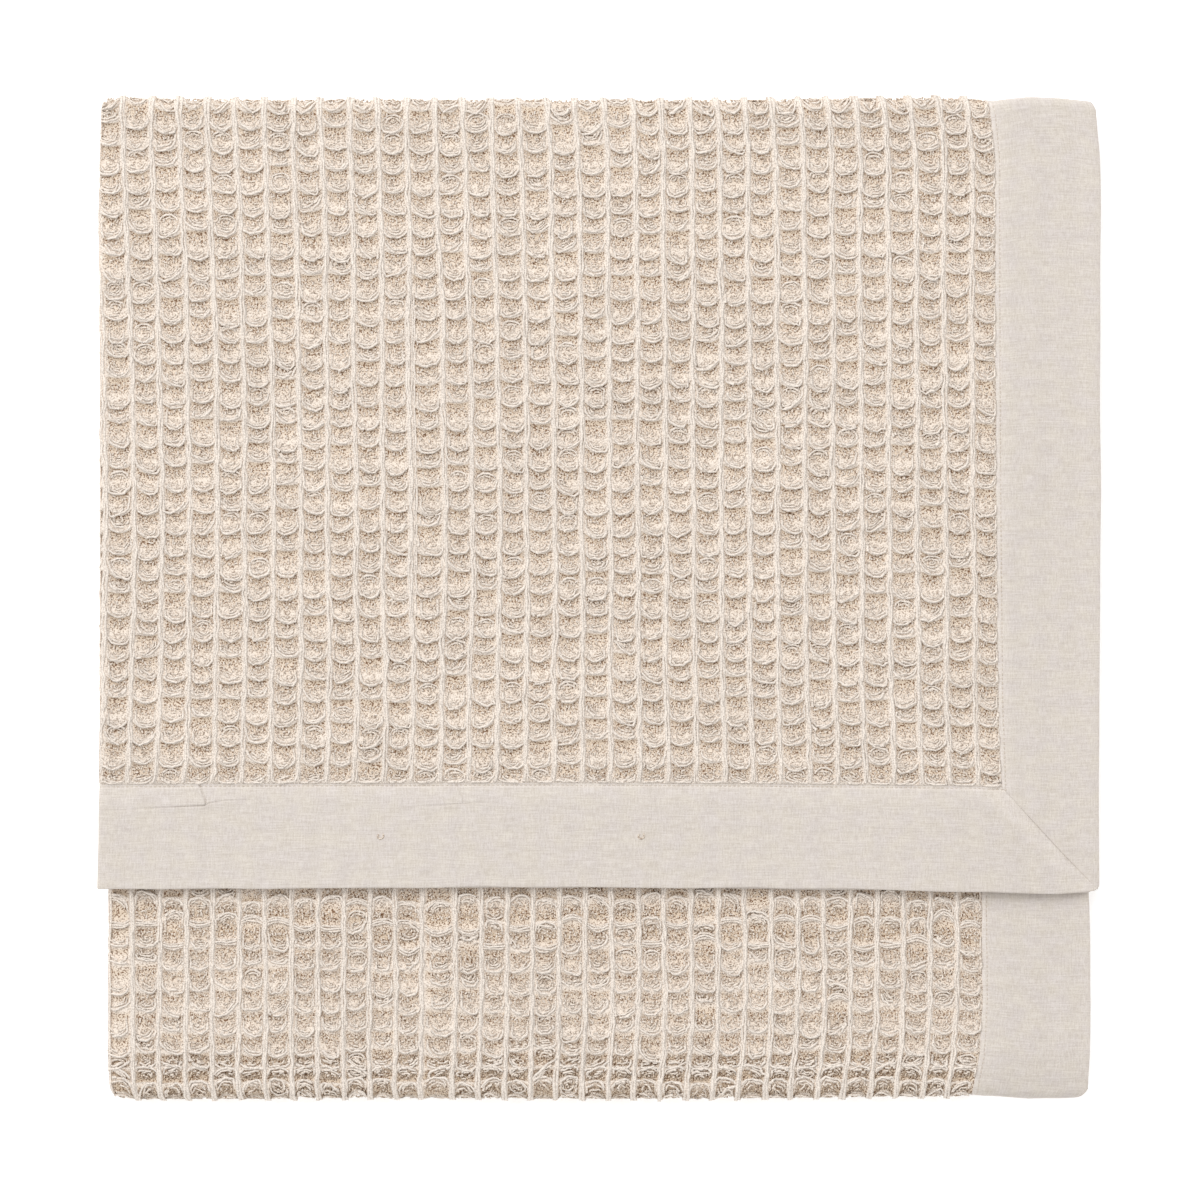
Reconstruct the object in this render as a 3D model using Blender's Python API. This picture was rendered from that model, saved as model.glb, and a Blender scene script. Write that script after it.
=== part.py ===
"""Waffle weave cotton blanket with a wide mitred binding, folded as it lies on a shelf.

The cloth is about 1.30 m by 1.80 m. It is doubled across its width, with that crease at the
left, and then laid back and forth in three sections: bottom, middle and top. Six layers lie
on each other. The front is at -Y, the back is at +Y, and +Z is up.

Run it with: blender --background --python part.py
"""

import math
from collections import namedtuple

import bmesh
import bpy
import numpy as np

# Cut sizes of the cloth, in metres.
HALF_WIDTH = 0.652  # from the crease at the left to the bound edge
BINDING_WIDTH = 0.068
CORNER_RADIUS = 0.005  # at the tip of each mitred corner

# Thickness and lie of one layer.
WAFFLE_THICKNESS = 0.0044
SEWN_THICKNESS = 0.0026  # the waffle where it is sewn down flat
SEWN_TAPER = 0.012
BINDING_THICKNESS = 0.0018
LAYER_PITCH = 0.0052  # from one layer to the next where the waffle is full
EDGE_PITCH = 0.0028  # the same at a bound edge, where the layers sink together
SINK_WIDTH = BINDING_WIDTH + 0.040
SEAM_GAP = 0.0004
UNEVENNESS = 0.0011  # the most that one layer lifts off the layer under it
WAVE_ACROSS, WAVE_ALONG = 0.37, 0.30  # how far apart the lifted places are
WAVE_SHIFT_ACROSS, WAVE_SHIFT_ALONG = 1.9, 2.6  # from layer to layer, in radians

# Where the folds turn and the hems lie, from the middle of the folded blanket.
BACK_FOLD_Y = 0.3163
FRONT_FOLD_Y = -0.3156
FRONT_HEM_Y = -0.1885
BACK_HEM_Y = 0.3075
FOLD_ARC = math.pi * LAYER_PITCH  # the length that one fold takes up in the middle of its pair
LEFT_TURN = math.pi * LAYER_PITCH / 4  # from the crease at the left to where a layer lies flat
SEAM_ACROSS = HALF_WIDTH - BINDING_WIDTH  # from that crease to the seam of a side binding

# The length from the front hem, as far as each fold's start and end.
TOP_END = BACK_FOLD_Y - FRONT_HEM_Y
MIDDLE_START = TOP_END + FOLD_ARC
MIDDLE_END = MIDDLE_START + BACK_FOLD_Y - FRONT_FOLD_Y
BOTTOM_START = MIDDLE_END + FOLD_ARC
LENGTH = BOTTOM_START + BACK_HEM_Y - FRONT_FOLD_Y

# The folded outline: where the crease at the left, the seam and the bound edge at the right
# lie, at a length along the cloth, and how far half A's and half B's edges are set back.
Outline = namedtuple("Outline", "along left seam right back_a back_b")
OUTLINE = (
    Outline(0.0000, -0.3263, 0.2620, 0.3253, 0.0000, 0.0030),
    Outline(0.0680, -0.3250, 0.2615, 0.3250, 0.0000, 0.0030),
    Outline(0.1235, -0.3250, 0.2594, 0.3253, 0.0000, 0.0028),
    Outline(0.2535, -0.3250, 0.2580, 0.3257, 0.0000, 0.0034),
    Outline(0.3835, -0.3250, 0.2574, 0.3257, 0.0000, 0.0030),
    Outline(0.4745, -0.3253, 0.2574, 0.3253, 0.0000, 0.0025),
    Outline(TOP_END, -0.3243, 0.2545, 0.3230, 0.0000, 0.0015),
    Outline(TOP_END + FOLD_ARC / 2, -0.3228, 0.2515, 0.3196, 0.0000, 0.0010),
    Outline(MIDDLE_START, -0.3232, 0.2515, 0.3196, 0.0010, 0.0010),
    Outline(0.6420, -0.3215, 0.2502, 0.3198, 0.0040, 0.0000),
    Outline(0.8370, -0.3210, 0.2496, 0.3185, 0.0045, 0.0000),
    Outline(1.0260, -0.3200, 0.2486, 0.3178, 0.0040, 0.0000),
    Outline(1.0970, -0.3202, 0.2496, 0.3180, 0.0035, 0.0000),
    Outline(1.1330, -0.3203, 0.2490, 0.3182, 0.0030, 0.0000),
    Outline(MIDDLE_END, -0.3195, 0.2478, 0.3170, 0.0015, 0.0000),
    Outline(MIDDLE_END + FOLD_ARC / 2, -0.3170, 0.2465, 0.3120, 0.0010, 0.0000),
    Outline(BOTTOM_START, -0.3190, 0.2475, 0.3155, 0.0015, 0.0000),
    Outline(1.2900, -0.3200, 0.2490, 0.3172, 0.0030, 0.0000),
    Outline(1.5500, -0.3208, 0.2500, 0.3188, 0.0040, 0.0000),
    Outline(LENGTH, -0.3205, 0.2510, 0.3190, 0.0040, 0.0000),
)

# How far the two folds and the hems stray from a straight line, at a place across.
Straying = namedtuple("Straying", "x back_fold front_fold front_hem back_hem")
STRAYING = (
    Straying(-0.325, -0.0026, 0.0012, -0.0005, 0.0000),
    Straying(-0.300, -0.0008, 0.0000, -0.0002, 0.0004),
    Straying(-0.200, -0.0010, -0.0004, 0.0006, 0.0010),
    Straying(-0.040, -0.0004, -0.0004, 0.0012, 0.0000),
    Straying(0.100, -0.0004, 0.0002, 0.0004, -0.0008),
    Straying(0.200, 0.0004, 0.0010, -0.0006, 0.0000),
    Straying(0.255, 0.0014, 0.0004, -0.0014, 0.0004),
    Straying(0.300, 0.0026, -0.0026, -0.0018, 0.0000),
    Straying(0.325, 0.0020, -0.0026, -0.0016, -0.0006),
)

# How fine the solids are cut.
FOLD_STEPS = 8
LEFT_FOLD_STEPS = 3
ACROSS_STEPS = 10
FLAT_STEPS = 14
BINDING_STEPS = 4
TAPER_STEPS = (0.0, 0.004, SEWN_TAPER, 0.024)
NEAREST_STEP = 0.010  # the least from the last step of a taper to the next step
MITRE_STEPS = (0.0, 0.04, 0.3, 0.65)
SHARP_ANGLE = math.radians(50)

WAFFLE_COLOUR = (0.78, 0.69, 0.59)
BINDING_COLOUR = (0.73, 0.66, 0.59)
WAFFLE_ROUGHNESS, BINDING_ROUGHNESS = 0.95, 0.9

# Half A is the half of the doubled cloth that shows on top, and half B is the other.
HALF_A, HALF_B = 1, -1


def eased(share):
    """0 to 1 with level ends."""
    share = np.clip(share, 0, 1)
    return share * share * (3 - 2 * share)


def column(rows, name):
    return np.array([getattr(row, name) for row in rows])


def outline(name, along):
    return np.interp(along, column(OUTLINE, "along"), column(OUTLINE, name))


def straying(name, x):
    return np.interp(x, column(STRAYING, "x"), column(STRAYING, name))


def back_fold(x):
    return BACK_FOLD_Y + straying("back_fold", x)


def front_fold(x):
    return FRONT_FOLD_Y + straying("front_fold", x)


def front_hem(x):
    return FRONT_HEM_Y + straying("front_hem", x)


def back_hem(x):
    return BACK_HEM_Y + straying("back_hem", x)


# A section runs from one length along the cloth to another, between two lines across the
# folded blanket. a_above_b is 1 where half A lies on half B, and -1 where it lies under it.
Section = namedtuple("Section", "start end start_line end_line a_above_b")
TOP = Section(0.0, TOP_END, front_hem, back_fold, 1)
MIDDLE = Section(MIDDLE_START, MIDDLE_END, back_fold, front_fold, -1)
BOTTOM = Section(BOTTOM_START, LENGTH, front_fold, back_hem, 1)

Fold = namedtuple("Fold", "start above below line outward")
FOLDS = (
    Fold(TOP_END, TOP, MIDDLE, back_fold, 1),
    Fold(MIDDLE_END, MIDDLE, BOTTOM, front_fold, -1),
)

# The layers from the lowest to the highest.
LAYERS = (
    (BOTTOM, HALF_B),
    (BOTTOM, HALF_A),
    (MIDDLE, HALF_A),
    (MIDDLE, HALF_B),
    (TOP, HALF_B),
    (TOP, HALF_A),
)


def y_at(section, x, along):
    share = (along - section.start) / (section.end - section.start)
    return section.start_line(x) + share * (section.end_line(x) - section.start_line(x))


def along_at(section, x, y):
    share = (y - section.start_line(x)) / (section.end_line(x) - section.start_line(x))
    return section.start + share * (section.end - section.start)


def from_edge(section, half, x, y):
    """How far inside its bound edge a layer is at (x, y)."""
    along = along_at(section, x, y)
    set_back = outline("back_a" if half == HALF_A else "back_b", along)
    inside = outline("right", along) - set_back - x
    if section is TOP:
        inside = np.minimum(inside, y - front_hem(x))
    if section is BOTTOM:
        inside = np.minimum(inside, back_hem(x) - y)
    return np.maximum(inside, 0)


def pitch(inside):
    return EDGE_PITCH + (LAYER_PITCH - EDGE_PITCH) * eased(inside / SINK_WIDTH)


def thickness(inside, bound):
    if bound:
        return np.full_like(inside, BINDING_THICKNESS)
    full = eased((inside - BINDING_WIDTH) / SEWN_TAPER)
    return SEWN_THICKNESS + (WAFFLE_THICKNESS - SEWN_THICKNESS) * full


def lift(layer, x, y):
    """How far a layer rises off the one under it. The lowest layer lies flat."""
    across = np.sin(2 * math.pi * x / WAVE_ACROSS + layer * WAVE_SHIFT_ACROSS)
    along = np.sin(2 * math.pi * y / WAVE_ALONG + layer * WAVE_SHIFT_ALONG)
    return UNEVENNESS * (1 + across * along) / 2 * (layer > 0)


def undersides(x, y):
    """{(section, half): the height of that layer's lower face} at (x, y)."""
    heights = {}
    height = np.zeros_like(x)
    for number, (section, half) in enumerate(LAYERS):
        height = height + lift(number, x, y)
        heights[section, half] = height
        height = height + pitch(from_edge(section, half, x, y))
    return heights


def pair_height(section, turn, through, x, y, bound):
    """The height of a point of a section's pair of layers.

    turn runs from 1 in half A to -1 in half B. through runs from -0.5 on the face inside
    the pair to 0.5 on its outer face.
    """
    lower = undersides(x, y)
    thick_a = thickness(from_edge(section, HALF_A, x, y), bound)
    thick_b = thickness(from_edge(section, HALF_B, x, y), bound)
    middle_a = lower[section, HALF_A] + thick_a / 2
    middle_b = lower[section, HALF_B] + thick_b / 2
    reach = np.abs(middle_a - middle_b) / 2 + through * np.where(turn >= 0, thick_a, thick_b)
    return (middle_a + middle_b) / 2 + section.a_above_b * turn * reach


def rounded_corners(across, along):
    """The same places on the cloth, with the tips of its corners rounded off."""
    from_side = HALF_WIDTH - np.abs(across)
    from_hem = np.minimum(along, LENGTH - along)
    deep_side = np.clip(CORNER_RADIUS - from_side, 0, None)
    deep_hem = np.clip(CORNER_RADIUS - from_hem, 0, None)
    deepest = np.maximum(deep_side, deep_hem)
    reach = np.hypot(deep_side, deep_hem)
    shrink = np.where(reach > 0, deepest / np.where(reach > 0, reach, 1), 1)
    across = across - np.sign(across) * deep_side * (1 - shrink)
    inward = np.where(along < LENGTH / 2, 1, -1)
    return across, along + inward * deep_hem * (1 - shrink)


def place_across(across, along, through, bound):
    """(x, turn) of a place on the cloth: where it lies across, and how far round the crease."""
    from_crease = np.abs(across)
    half = np.where(across >= 0, HALF_A, HALF_B)
    set_back = np.where(half == HALF_A, outline("back_a", along), outline("back_b", along))
    seam = outline("seam", along) - set_back
    right = outline("right", along) - set_back
    from_hem = np.minimum(along, LENGTH - along)
    thick = thickness(from_hem, bound)
    spread = pitch(from_hem) / 2
    centre = outline("left", along) + spread + thick / 2
    inner = (from_crease - LEFT_TURN) / (SEAM_ACROSS - LEFT_TURN)
    outer = (from_crease - SEAM_ACROSS) / BINDING_WIDTH
    laid = np.where(
        from_crease < SEAM_ACROSS,
        centre + inner * (seam - centre),
        seam + outer * (right - seam),
    )
    angle = np.clip(from_crease / LEFT_TURN, 0, 1) * math.pi / 2
    turned = centre - (spread + through * thick) * np.cos(angle)
    return np.where(from_crease < LEFT_TURN, turned, laid), half * np.sin(angle)


def folded(across, along, through, bound):
    """Where points of the flat cloth lie once the blanket is folded.

    across is measured from the crease at the left, and is positive on half A. along is
    measured from the front hem. through runs from -0.5 to 0.5 through the thickness.
    """
    across, along = rounded_corners(across, along)
    x, turn = place_across(across, along, through, bound)
    places = np.column_stack([x, x, x])
    for section in (TOP, MIDDLE, BOTTOM):
        at = (along >= section.start) & (along <= section.end)
        y = y_at(section, x[at], along[at])
        places[at, 1] = y
        places[at, 2] = pair_height(section, turn[at], through[at], x[at], y, bound)
    for fold in FOLDS:
        at = (along > fold.start) & (along < fold.start + FOLD_ARC)
        y = fold.line(x[at])
        over = pair_height(fold.above, turn[at], through[at], x[at], y, bound)
        under = pair_height(fold.below, turn[at], through[at], x[at], y, bound)
        angle = math.pi * (along[at] - fold.start) / FOLD_ARC
        radius = (over - under) / 2
        places[at, 1] = y + fold.outward * radius * np.sin(angle)
        places[at, 2] = (over + under) / 2 + radius * np.cos(angle)
    return places


def stops_along():
    """Lengths at which the long pieces are cut into steps, from past one hem to the other."""
    levels = np.linspace(FRONT_FOLD_Y, BACK_FOLD_Y, FLAT_STEPS + 1)
    hem_stretch = BINDING_WIDTH + TAPER_STEPS[-1] + NEAREST_STEP
    top = [y - FRONT_HEM_Y for y in levels if y - FRONT_HEM_Y > hem_stretch]
    middle = [MIDDLE_START + BACK_FOLD_Y - y for y in reversed(levels)]
    bottom = [BOTTOM_START + y - FRONT_FOLD_Y for y in levels if BACK_HEM_Y - y > hem_stretch]
    arc = [FOLD_ARC * step / FOLD_STEPS for step in range(1, FOLD_STEPS)]
    back_turn = [TOP_END + part for part in arc]
    front_turn = [MIDDLE_END + part for part in arc]
    return [*top, *back_turn, *middle, *front_turn, *bottom]


def stops_across():
    """Distances from the crease at the left, as far as the taper before the seam."""
    turn = [LEFT_TURN * step / LEFT_FOLD_STEPS for step in range(1, LEFT_FOLD_STEPS)]
    flat = np.linspace(LEFT_TURN, SEAM_ACROSS - TAPER_STEPS[-1], ACROSS_STEPS + 1)
    return [*turn, *flat]


def slab(name, across, along, bound, material, collection):
    """A piece of the cloth, cut flat as a grid slab and folded into place.

    across and along are grids of the same shape: one place on the cloth for each corner.
    """
    rows, columns = across.shape
    shape = bmesh.new()
    bmesh.ops.create_grid(shape, x_segments=columns - 1, y_segments=rows - 1, size=0.5)
    grown = bmesh.ops.extrude_face_region(shape, geom=shape.faces[:])
    for corner in (item for item in grown["geom"] if isinstance(item, bmesh.types.BMVert)):
        corner.co.z = 1
    bmesh.ops.recalc_face_normals(shape, faces=shape.faces[:])
    flat = np.array([corner.co for corner in shape.verts])
    at_column = np.rint((flat[:, 0] + 0.5) * (columns - 1)).astype(int)
    at_row = np.rint((flat[:, 1] + 0.5) * (rows - 1)).astype(int)
    through = flat[:, 2] - 0.5
    places = folded(across[at_row, at_column], along[at_row, at_column], through, bound)
    for corner, place in zip(shape.verts, places):
        corner.co = place
    if shape.calc_volume(signed=True) < 0:
        bmesh.ops.reverse_faces(shape, faces=shape.faces[:])
    mesh = bpy.data.meshes.new(name)
    shape.to_mesh(mesh)
    shape.free()
    mesh.shade_smooth()
    mesh.set_sharp_from_angle(angle=SHARP_ANGLE)
    mesh.materials.append(material)
    piece = bpy.data.objects.new(name, mesh)
    collection.objects.link(piece)
    return piece


def waffle_panel(material, collection):
    """The one waffle weave cloth inside the binding."""
    edge = BINDING_WIDTH + SEAM_GAP / 2
    taper = [HALF_WIDTH - edge - step for step in reversed(TAPER_STEPS[:-1])]
    half_a = [*stops_across(), *taper]
    half_b = [-stop for stop in reversed(half_a)]
    front = [edge + step for step in TAPER_STEPS]
    back = [LENGTH - stop for stop in reversed(front)]
    across, along = np.meshgrid([*half_b, 0.0, *half_a], [*front, *stops_along(), *back])
    return slab("waffle_panel", across, along, False, material, collection)


def strip_stops():
    """Distances from the edge of the blanket at which a binding strip is cut into steps."""
    inside = np.linspace(0, BINDING_WIDTH - SEAM_GAP / 2, BINDING_STEPS + 1)
    return np.insert(inside, 1, CORNER_RADIUS / 2)


def side_binding(name, half, material, collection):
    """The binding strip along one long edge, mitred at both ends."""
    inside = strip_stops()
    mitre = inside + SEAM_GAP * math.sqrt(0.5)
    straight = BINDING_WIDTH + TAPER_STEPS[-1]
    front = [mitre + (straight - mitre) * share for share in (*MITRE_STEPS, 1.0)]
    back = [LENGTH - row for row in reversed(front)]
    middle = [np.full_like(inside, stop) for stop in stops_along()]
    along = np.array([*front, *middle, *back])
    across = np.tile(half * (HALF_WIDTH - inside), (len(along), 1))
    return slab(name, across, along, True, material, collection)


def hem_binding(name, at_front, material, collection):
    """The binding strip along one short edge. It wraps round the crease at the left."""
    inside = strip_stops()
    mitre = HALF_WIDTH - inside - SEAM_GAP * math.sqrt(0.5)
    straight = stops_across()[-1]
    tips = [mitre + (straight - mitre) * share for share in reversed(MITRE_STEPS)]
    half_a = [*(np.full_like(inside, stop) for stop in stops_across()), *tips]
    half_b = [-stop for stop in reversed(half_a)]
    across = np.array([*half_b, np.zeros_like(inside), *half_a])
    along = np.tile(inside if at_front else LENGTH - inside, (len(across), 1))
    return slab(name, across, along, True, material, collection)


def fabric(name, colour, roughness):
    material = bpy.data.materials.new(name)
    material.use_nodes = True
    shader = material.node_tree.nodes["Principled BSDF"]
    shader.inputs["Base Color"].default_value = (*colour, 1)
    shader.inputs["Roughness"].default_value = roughness
    shader.inputs["Metallic"].default_value = 0
    material.diffuse_color = (*colour, 1)
    return material


def centre_on_origin(pieces):
    """Puts the middle of the underside of the whole blanket at the origin."""
    points = np.array([corner.co for piece in pieces for corner in piece.data.vertices])
    middle = (points.min(axis=0) + points.max(axis=0)) / 2
    for piece in pieces:
        for corner in piece.data.vertices:
            corner.co.x -= middle[0]
            corner.co.y -= middle[1]


def main():
    for old in list(bpy.data.objects):
        bpy.data.objects.remove(old, do_unlink=True)
    collection = bpy.data.collections.new("folded_waffle_blanket")
    bpy.context.scene.collection.children.link(collection)
    waffle = fabric("waffle_cotton", WAFFLE_COLOUR, WAFFLE_ROUGHNESS)
    binding = fabric("binding_cloth", BINDING_COLOUR, BINDING_ROUGHNESS)
    centre_on_origin(
        [
            waffle_panel(waffle, collection),
            side_binding("binding_side_a", HALF_A, binding, collection),
            side_binding("binding_side_b", HALF_B, binding, collection),
            hem_binding("binding_hem_front", True, binding, collection),
            hem_binding("binding_hem_back", False, binding, collection),
        ]
    )


main()
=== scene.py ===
"""Looks of the folded waffle weave cotton blanket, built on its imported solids.

The cloth is modelled flat, in distances across it from the crease at the left and along it
from the front hem, and is then laid in the same folds as the solids. The ground cloth has
the waffle's ridges and pits. The yarns that float over them are tubes of their own.
"""

import math
from collections import namedtuple

import bmesh
import bpy
import numpy as np
from bpy.props import FloatProperty, FloatVectorProperty, IntProperty, PointerProperty, StringProperty
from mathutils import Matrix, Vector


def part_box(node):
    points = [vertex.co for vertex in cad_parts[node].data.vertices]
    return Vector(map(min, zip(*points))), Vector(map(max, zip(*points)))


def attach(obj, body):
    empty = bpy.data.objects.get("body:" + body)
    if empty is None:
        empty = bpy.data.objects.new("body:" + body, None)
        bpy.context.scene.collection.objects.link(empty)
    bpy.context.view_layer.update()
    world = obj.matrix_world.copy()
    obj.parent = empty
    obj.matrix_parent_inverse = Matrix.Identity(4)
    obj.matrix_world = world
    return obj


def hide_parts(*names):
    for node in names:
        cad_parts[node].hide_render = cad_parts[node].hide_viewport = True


bl_info = {
    "name": "Folded Waffle Blanket",
    "version": (1, 0, 0),
    "blender": (4, 5, 0),
    "location": "3D View > Sidebar > Blanket",
    "description": "Builds the looks of a folded waffle weave cotton blanket",
    "category": "Object",
}

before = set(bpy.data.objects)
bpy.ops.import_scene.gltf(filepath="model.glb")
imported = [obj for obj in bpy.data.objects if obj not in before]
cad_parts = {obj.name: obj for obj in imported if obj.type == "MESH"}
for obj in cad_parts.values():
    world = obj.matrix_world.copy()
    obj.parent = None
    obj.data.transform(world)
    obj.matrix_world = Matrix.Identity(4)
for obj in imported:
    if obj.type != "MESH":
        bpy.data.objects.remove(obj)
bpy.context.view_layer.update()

MM = 0.001

# The fold plan, nearly the same as that of the solids, so that the cloth lies where they do.
HALF_WIDTH = 0.652
BINDING_WIDTH = 0.068
CORNER_RADIUS = 0.005
WAFFLE_THICKNESS = 0.0044
SEWN_THICKNESS = 0.0026
SEWN_TAPER = 0.012
BINDING_THICKNESS = 0.0018
LAYER_PITCH = 0.0052
EDGE_PITCH = 0.0028
SINK_WIDTH = BINDING_WIDTH + 0.040
UNEVENNESS = 0.0011
WAVE_ACROSS, WAVE_ALONG = 0.37, 0.30
WAVE_SHIFT_ACROSS, WAVE_SHIFT_ALONG = 1.9, 2.6
BACK_FOLD_Y = 0.3163
FRONT_FOLD_Y = -0.3156
FRONT_HEM_Y = -0.1885
BACK_HEM_Y = 0.3075
FOLD_ARC = math.pi * LAYER_PITCH
LEFT_TURN = math.pi * LAYER_PITCH / 4
SEAM_ACROSS = HALF_WIDTH - BINDING_WIDTH
TOP_END = BACK_FOLD_Y - FRONT_HEM_Y
MIDDLE_START = TOP_END + FOLD_ARC
MIDDLE_END = MIDDLE_START + BACK_FOLD_Y - FRONT_FOLD_Y
BOTTOM_START = MIDDLE_END + FOLD_ARC
LENGTH = BOTTOM_START + BACK_HEM_Y - FRONT_FOLD_Y
PLAN_SHIFT = (0.0003, -0.00063)  # from the fold plan to the middle of the whole blanket

# Where the crease at the left, the seam and the bound edge lie at each length of the cloth, and
# how far each half's bound edge is set back from the outermost one.
Outline = namedtuple("Outline", "along left seam right back_a back_b")
OUTLINE = (
    Outline(0.0000, -0.3263, 0.2620, 0.3253, 0.0000, 0.0030),
    Outline(0.0680, -0.3250, 0.2615, 0.3250, 0.0000, 0.0030),
    Outline(0.1235, -0.3250, 0.2594, 0.3253, 0.0000, 0.0028),
    Outline(0.2535, -0.3250, 0.2580, 0.3257, 0.0000, 0.0034),
    Outline(0.3835, -0.3250, 0.2574, 0.3257, 0.0000, 0.0030),
    Outline(0.4745, -0.3253, 0.2574, 0.3253, 0.0000, 0.0025),
    Outline(TOP_END, -0.3243, 0.2545, 0.3230, 0.0000, 0.0015),
    Outline(TOP_END + FOLD_ARC / 2, -0.3228, 0.2515, 0.3196, 0.0000, 0.0010),
    Outline(MIDDLE_START, -0.3232, 0.2515, 0.3196, 0.0010, 0.0010),
    Outline(0.6420, -0.3215, 0.2502, 0.3198, 0.0040, 0.0000),
    Outline(0.8370, -0.3210, 0.2496, 0.3185, 0.0045, 0.0000),
    Outline(1.0260, -0.3200, 0.2490, 0.3184, 0.0040, 0.0000),
    Outline(1.0970, -0.3202, 0.2496, 0.3198, 0.0035, 0.0000),
    Outline(1.1330, -0.3203, 0.2478, 0.3194, 0.0030, 0.0000),
    Outline(MIDDLE_END, -0.3195, 0.2440, 0.3184, 0.0015, 0.0000),
    Outline(MIDDLE_END + FOLD_ARC * 0.15, -0.3188, 0.2436, 0.3168, 0.0013, 0.0000),
    Outline(MIDDLE_END + FOLD_ARC * 0.32, -0.3180, 0.2430, 0.3143, 0.0011, 0.0000),
    Outline(MIDDLE_END + FOLD_ARC * 0.50, -0.3170, 0.2425, 0.3100, 0.0010, 0.0000),
    Outline(MIDDLE_END + FOLD_ARC * 0.75, -0.3182, 0.2435, 0.3135, 0.0013, 0.0000),
    Outline(BOTTOM_START, -0.3190, 0.2445, 0.3155, 0.0015, 0.0000),
    Outline(1.2900, -0.3200, 0.2490, 0.3172, 0.0030, 0.0000),
    Outline(1.5500, -0.3208, 0.2500, 0.3188, 0.0040, 0.0000),
    Outline(LENGTH, -0.3205, 0.2510, 0.3190, 0.0040, 0.0000),
)
# How far each fold and hem strays from its straight line.
Straying = namedtuple("Straying", "x back_fold front_fold front_hem back_hem")
STRAYING = (
    Straying(-0.325, 0.0014, 0.0012, -0.0005, 0.0000),
    Straying(-0.300, 0.0006, 0.0000, -0.0002, 0.0004),
    Straying(-0.200, -0.0010, -0.0004, 0.0006, 0.0010),
    Straying(-0.040, -0.0004, -0.0004, 0.0012, 0.0000),
    Straying(0.100, -0.0004, 0.0002, 0.0004, -0.0008),
    Straying(0.200, 0.0004, 0.0006, -0.0009, 0.0000),
    Straying(0.242, 0.0008, -0.0002, -0.0016, 0.0003),
    Straying(0.256, -0.0006, -0.0010, -0.0022, 0.0004),
    Straying(0.280, 0.0033, -0.0038, -0.0033, 0.0002),
    Straying(0.300, 0.0034, -0.0040, -0.0034, 0.0000),
    Straying(0.325, 0.0014, -0.0036, -0.0020, -0.0006),
)
HALF_A, HALF_B = 1, -1  # the two halves of the cloth's width

# The waffle. Places across count from the crease at the left, and half A is positive.
CELL_WIDTH, CELL_LENGTH = 18.2 * MM, 13.7 * MM
SEAM_GAP = 0.2 * MM  # between the waffle cloth and a strip
CLOTH_START = BINDING_WIDTH + SEAM_GAP
CLOTH_END = LENGTH - CLOTH_START
CLOTH_SIDE = SEAM_ACROSS - SEAM_GAP
FIRST_RIDGE = 0.0042
HALF_B_SHIFT, HALF_B_NARROWING = -0.0030, 0.975
RELIEF_LOW, RELIEF_HIGH = -0.80 * MM, 1.52 * MM  # the ground cloth, from the middle of the layer
RELIEF_BACK = -1.7 * MM
STRIP_DEEPER = 0.65 * MM  # how much deeper the pits are that show in front, near the front fold
FOLD_SINK, FOLD_SWELL = 1.2 * MM, 0.05 * MM  # round a fold, of the cells and of the ridges
BOW = 0.0054  # how far the ridges bend to the left, at BOW_REACH from BOW_MIDDLE
BOW_MIDDLE, BOW_REACH, BOW_FADE, BOW_ENDING = 0.24, 0.2, 0.40, 0.2
# A soft crease runs along the waffle in both halves: its cells are wider, and have a low welt.
CREASE_ACROSS, CREASE_WIDENING, CREASE_FADE = 0.2135, 0.0026, 0.06
CREASE_STARTS, CREASE_ENDS, CREASE_EASING = 0.150, 0.420, 0.05
STRIP_START = MIDDLE_END - 0.150  # where the middle section starts to show in front
STRIP_FADE = 0.06  # over how much of its length its pits deepen
STRIP_END = BOTTOM_START + 0.01  # how far round the front fold it shows
STRIP_TURN = BOTTOM_START + 0.006  # where the floats of the underside start
ROUND_BACK = MIDDLE_START + 0.004  # how far round the back fold the cloth shows
RIM_OFFSET = 0.18  # how far a rim's ends are pulled back, as a share of a cell's length
# Which way the rims hang along the cloth: -1 to its start, 1 to its end.
HANG_PLACES = (
    *(0, TOP_END, MIDDLE_START),
    *(MIDDLE_END - before for before in (0.15, 0.12, 0.085, 0.072, 0.036, 0.022, 0.010, -0.004)),
    LENGTH,
)
HANG_WAYS = (-1, -1, 0, -0.8, -0.65, 0.5, 0.9, 0.9, 0.75, -0.1, -0.9, -0.5)
# How much the cells differ by chance, as shares of a cell's length.
SLIP_SPREAD, ROW_WAVE = 0.06, 0.07
SAG_USUAL, SAG_SPREAD, SAG_LEAST, SAG_MOST = 0.40, 0.10, 0.1, 0.62
STRAIGHT_CHANCE, STRAIGHT_SAG = 0.12, 0.25  # some rims hang a quarter as far as the others
# In the strip in front the way they hang differs, and each hangs clearly one way up to a length.
WHIM_SPREAD, WHIMS_END = 0.3, MIDDLE_END - 0.012
CLEAR_FACTOR, CLEAR_LEAST, CLEAR_END = 1.7, 0.6, MIDDLE_END - 0.030
FRONT_ROWS_START, FRONT_ROWS_EASING = 0.036, 0.034  # before the front fold
RIDGE_WOBBLE = 0.34 * MM
WOBBLES = ((0.8, 6.2 * MM, 5), (1, 21 * MM, 1), (1, 47 * MM, 2))  # share, length, turn
CELL_WOBBLE, CELL_TURN = 0.9, 3
WIDEST_OPEN = 0.54  # half of the widest cell's open part, as a share of a cell's width

# The rows of cells crowd together round the folds: by shift, from before a place to past a later one.
Crowding = namedtuple("Crowding", "start before rise end past fall shift")
CROWDINGS = (
    Crowding(TOP_END, 0.030, 0.070, MIDDLE_START, 0.18, 0.14, 0.005),
    Crowding(MIDDLE_END, 0.026, 0.080, BOTTOM_START, 0.20, 0.14, 0.020),
)
FOLD_REACH = 6 * MM  # how far from the middle of its turn a fold changes the cloth


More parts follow.
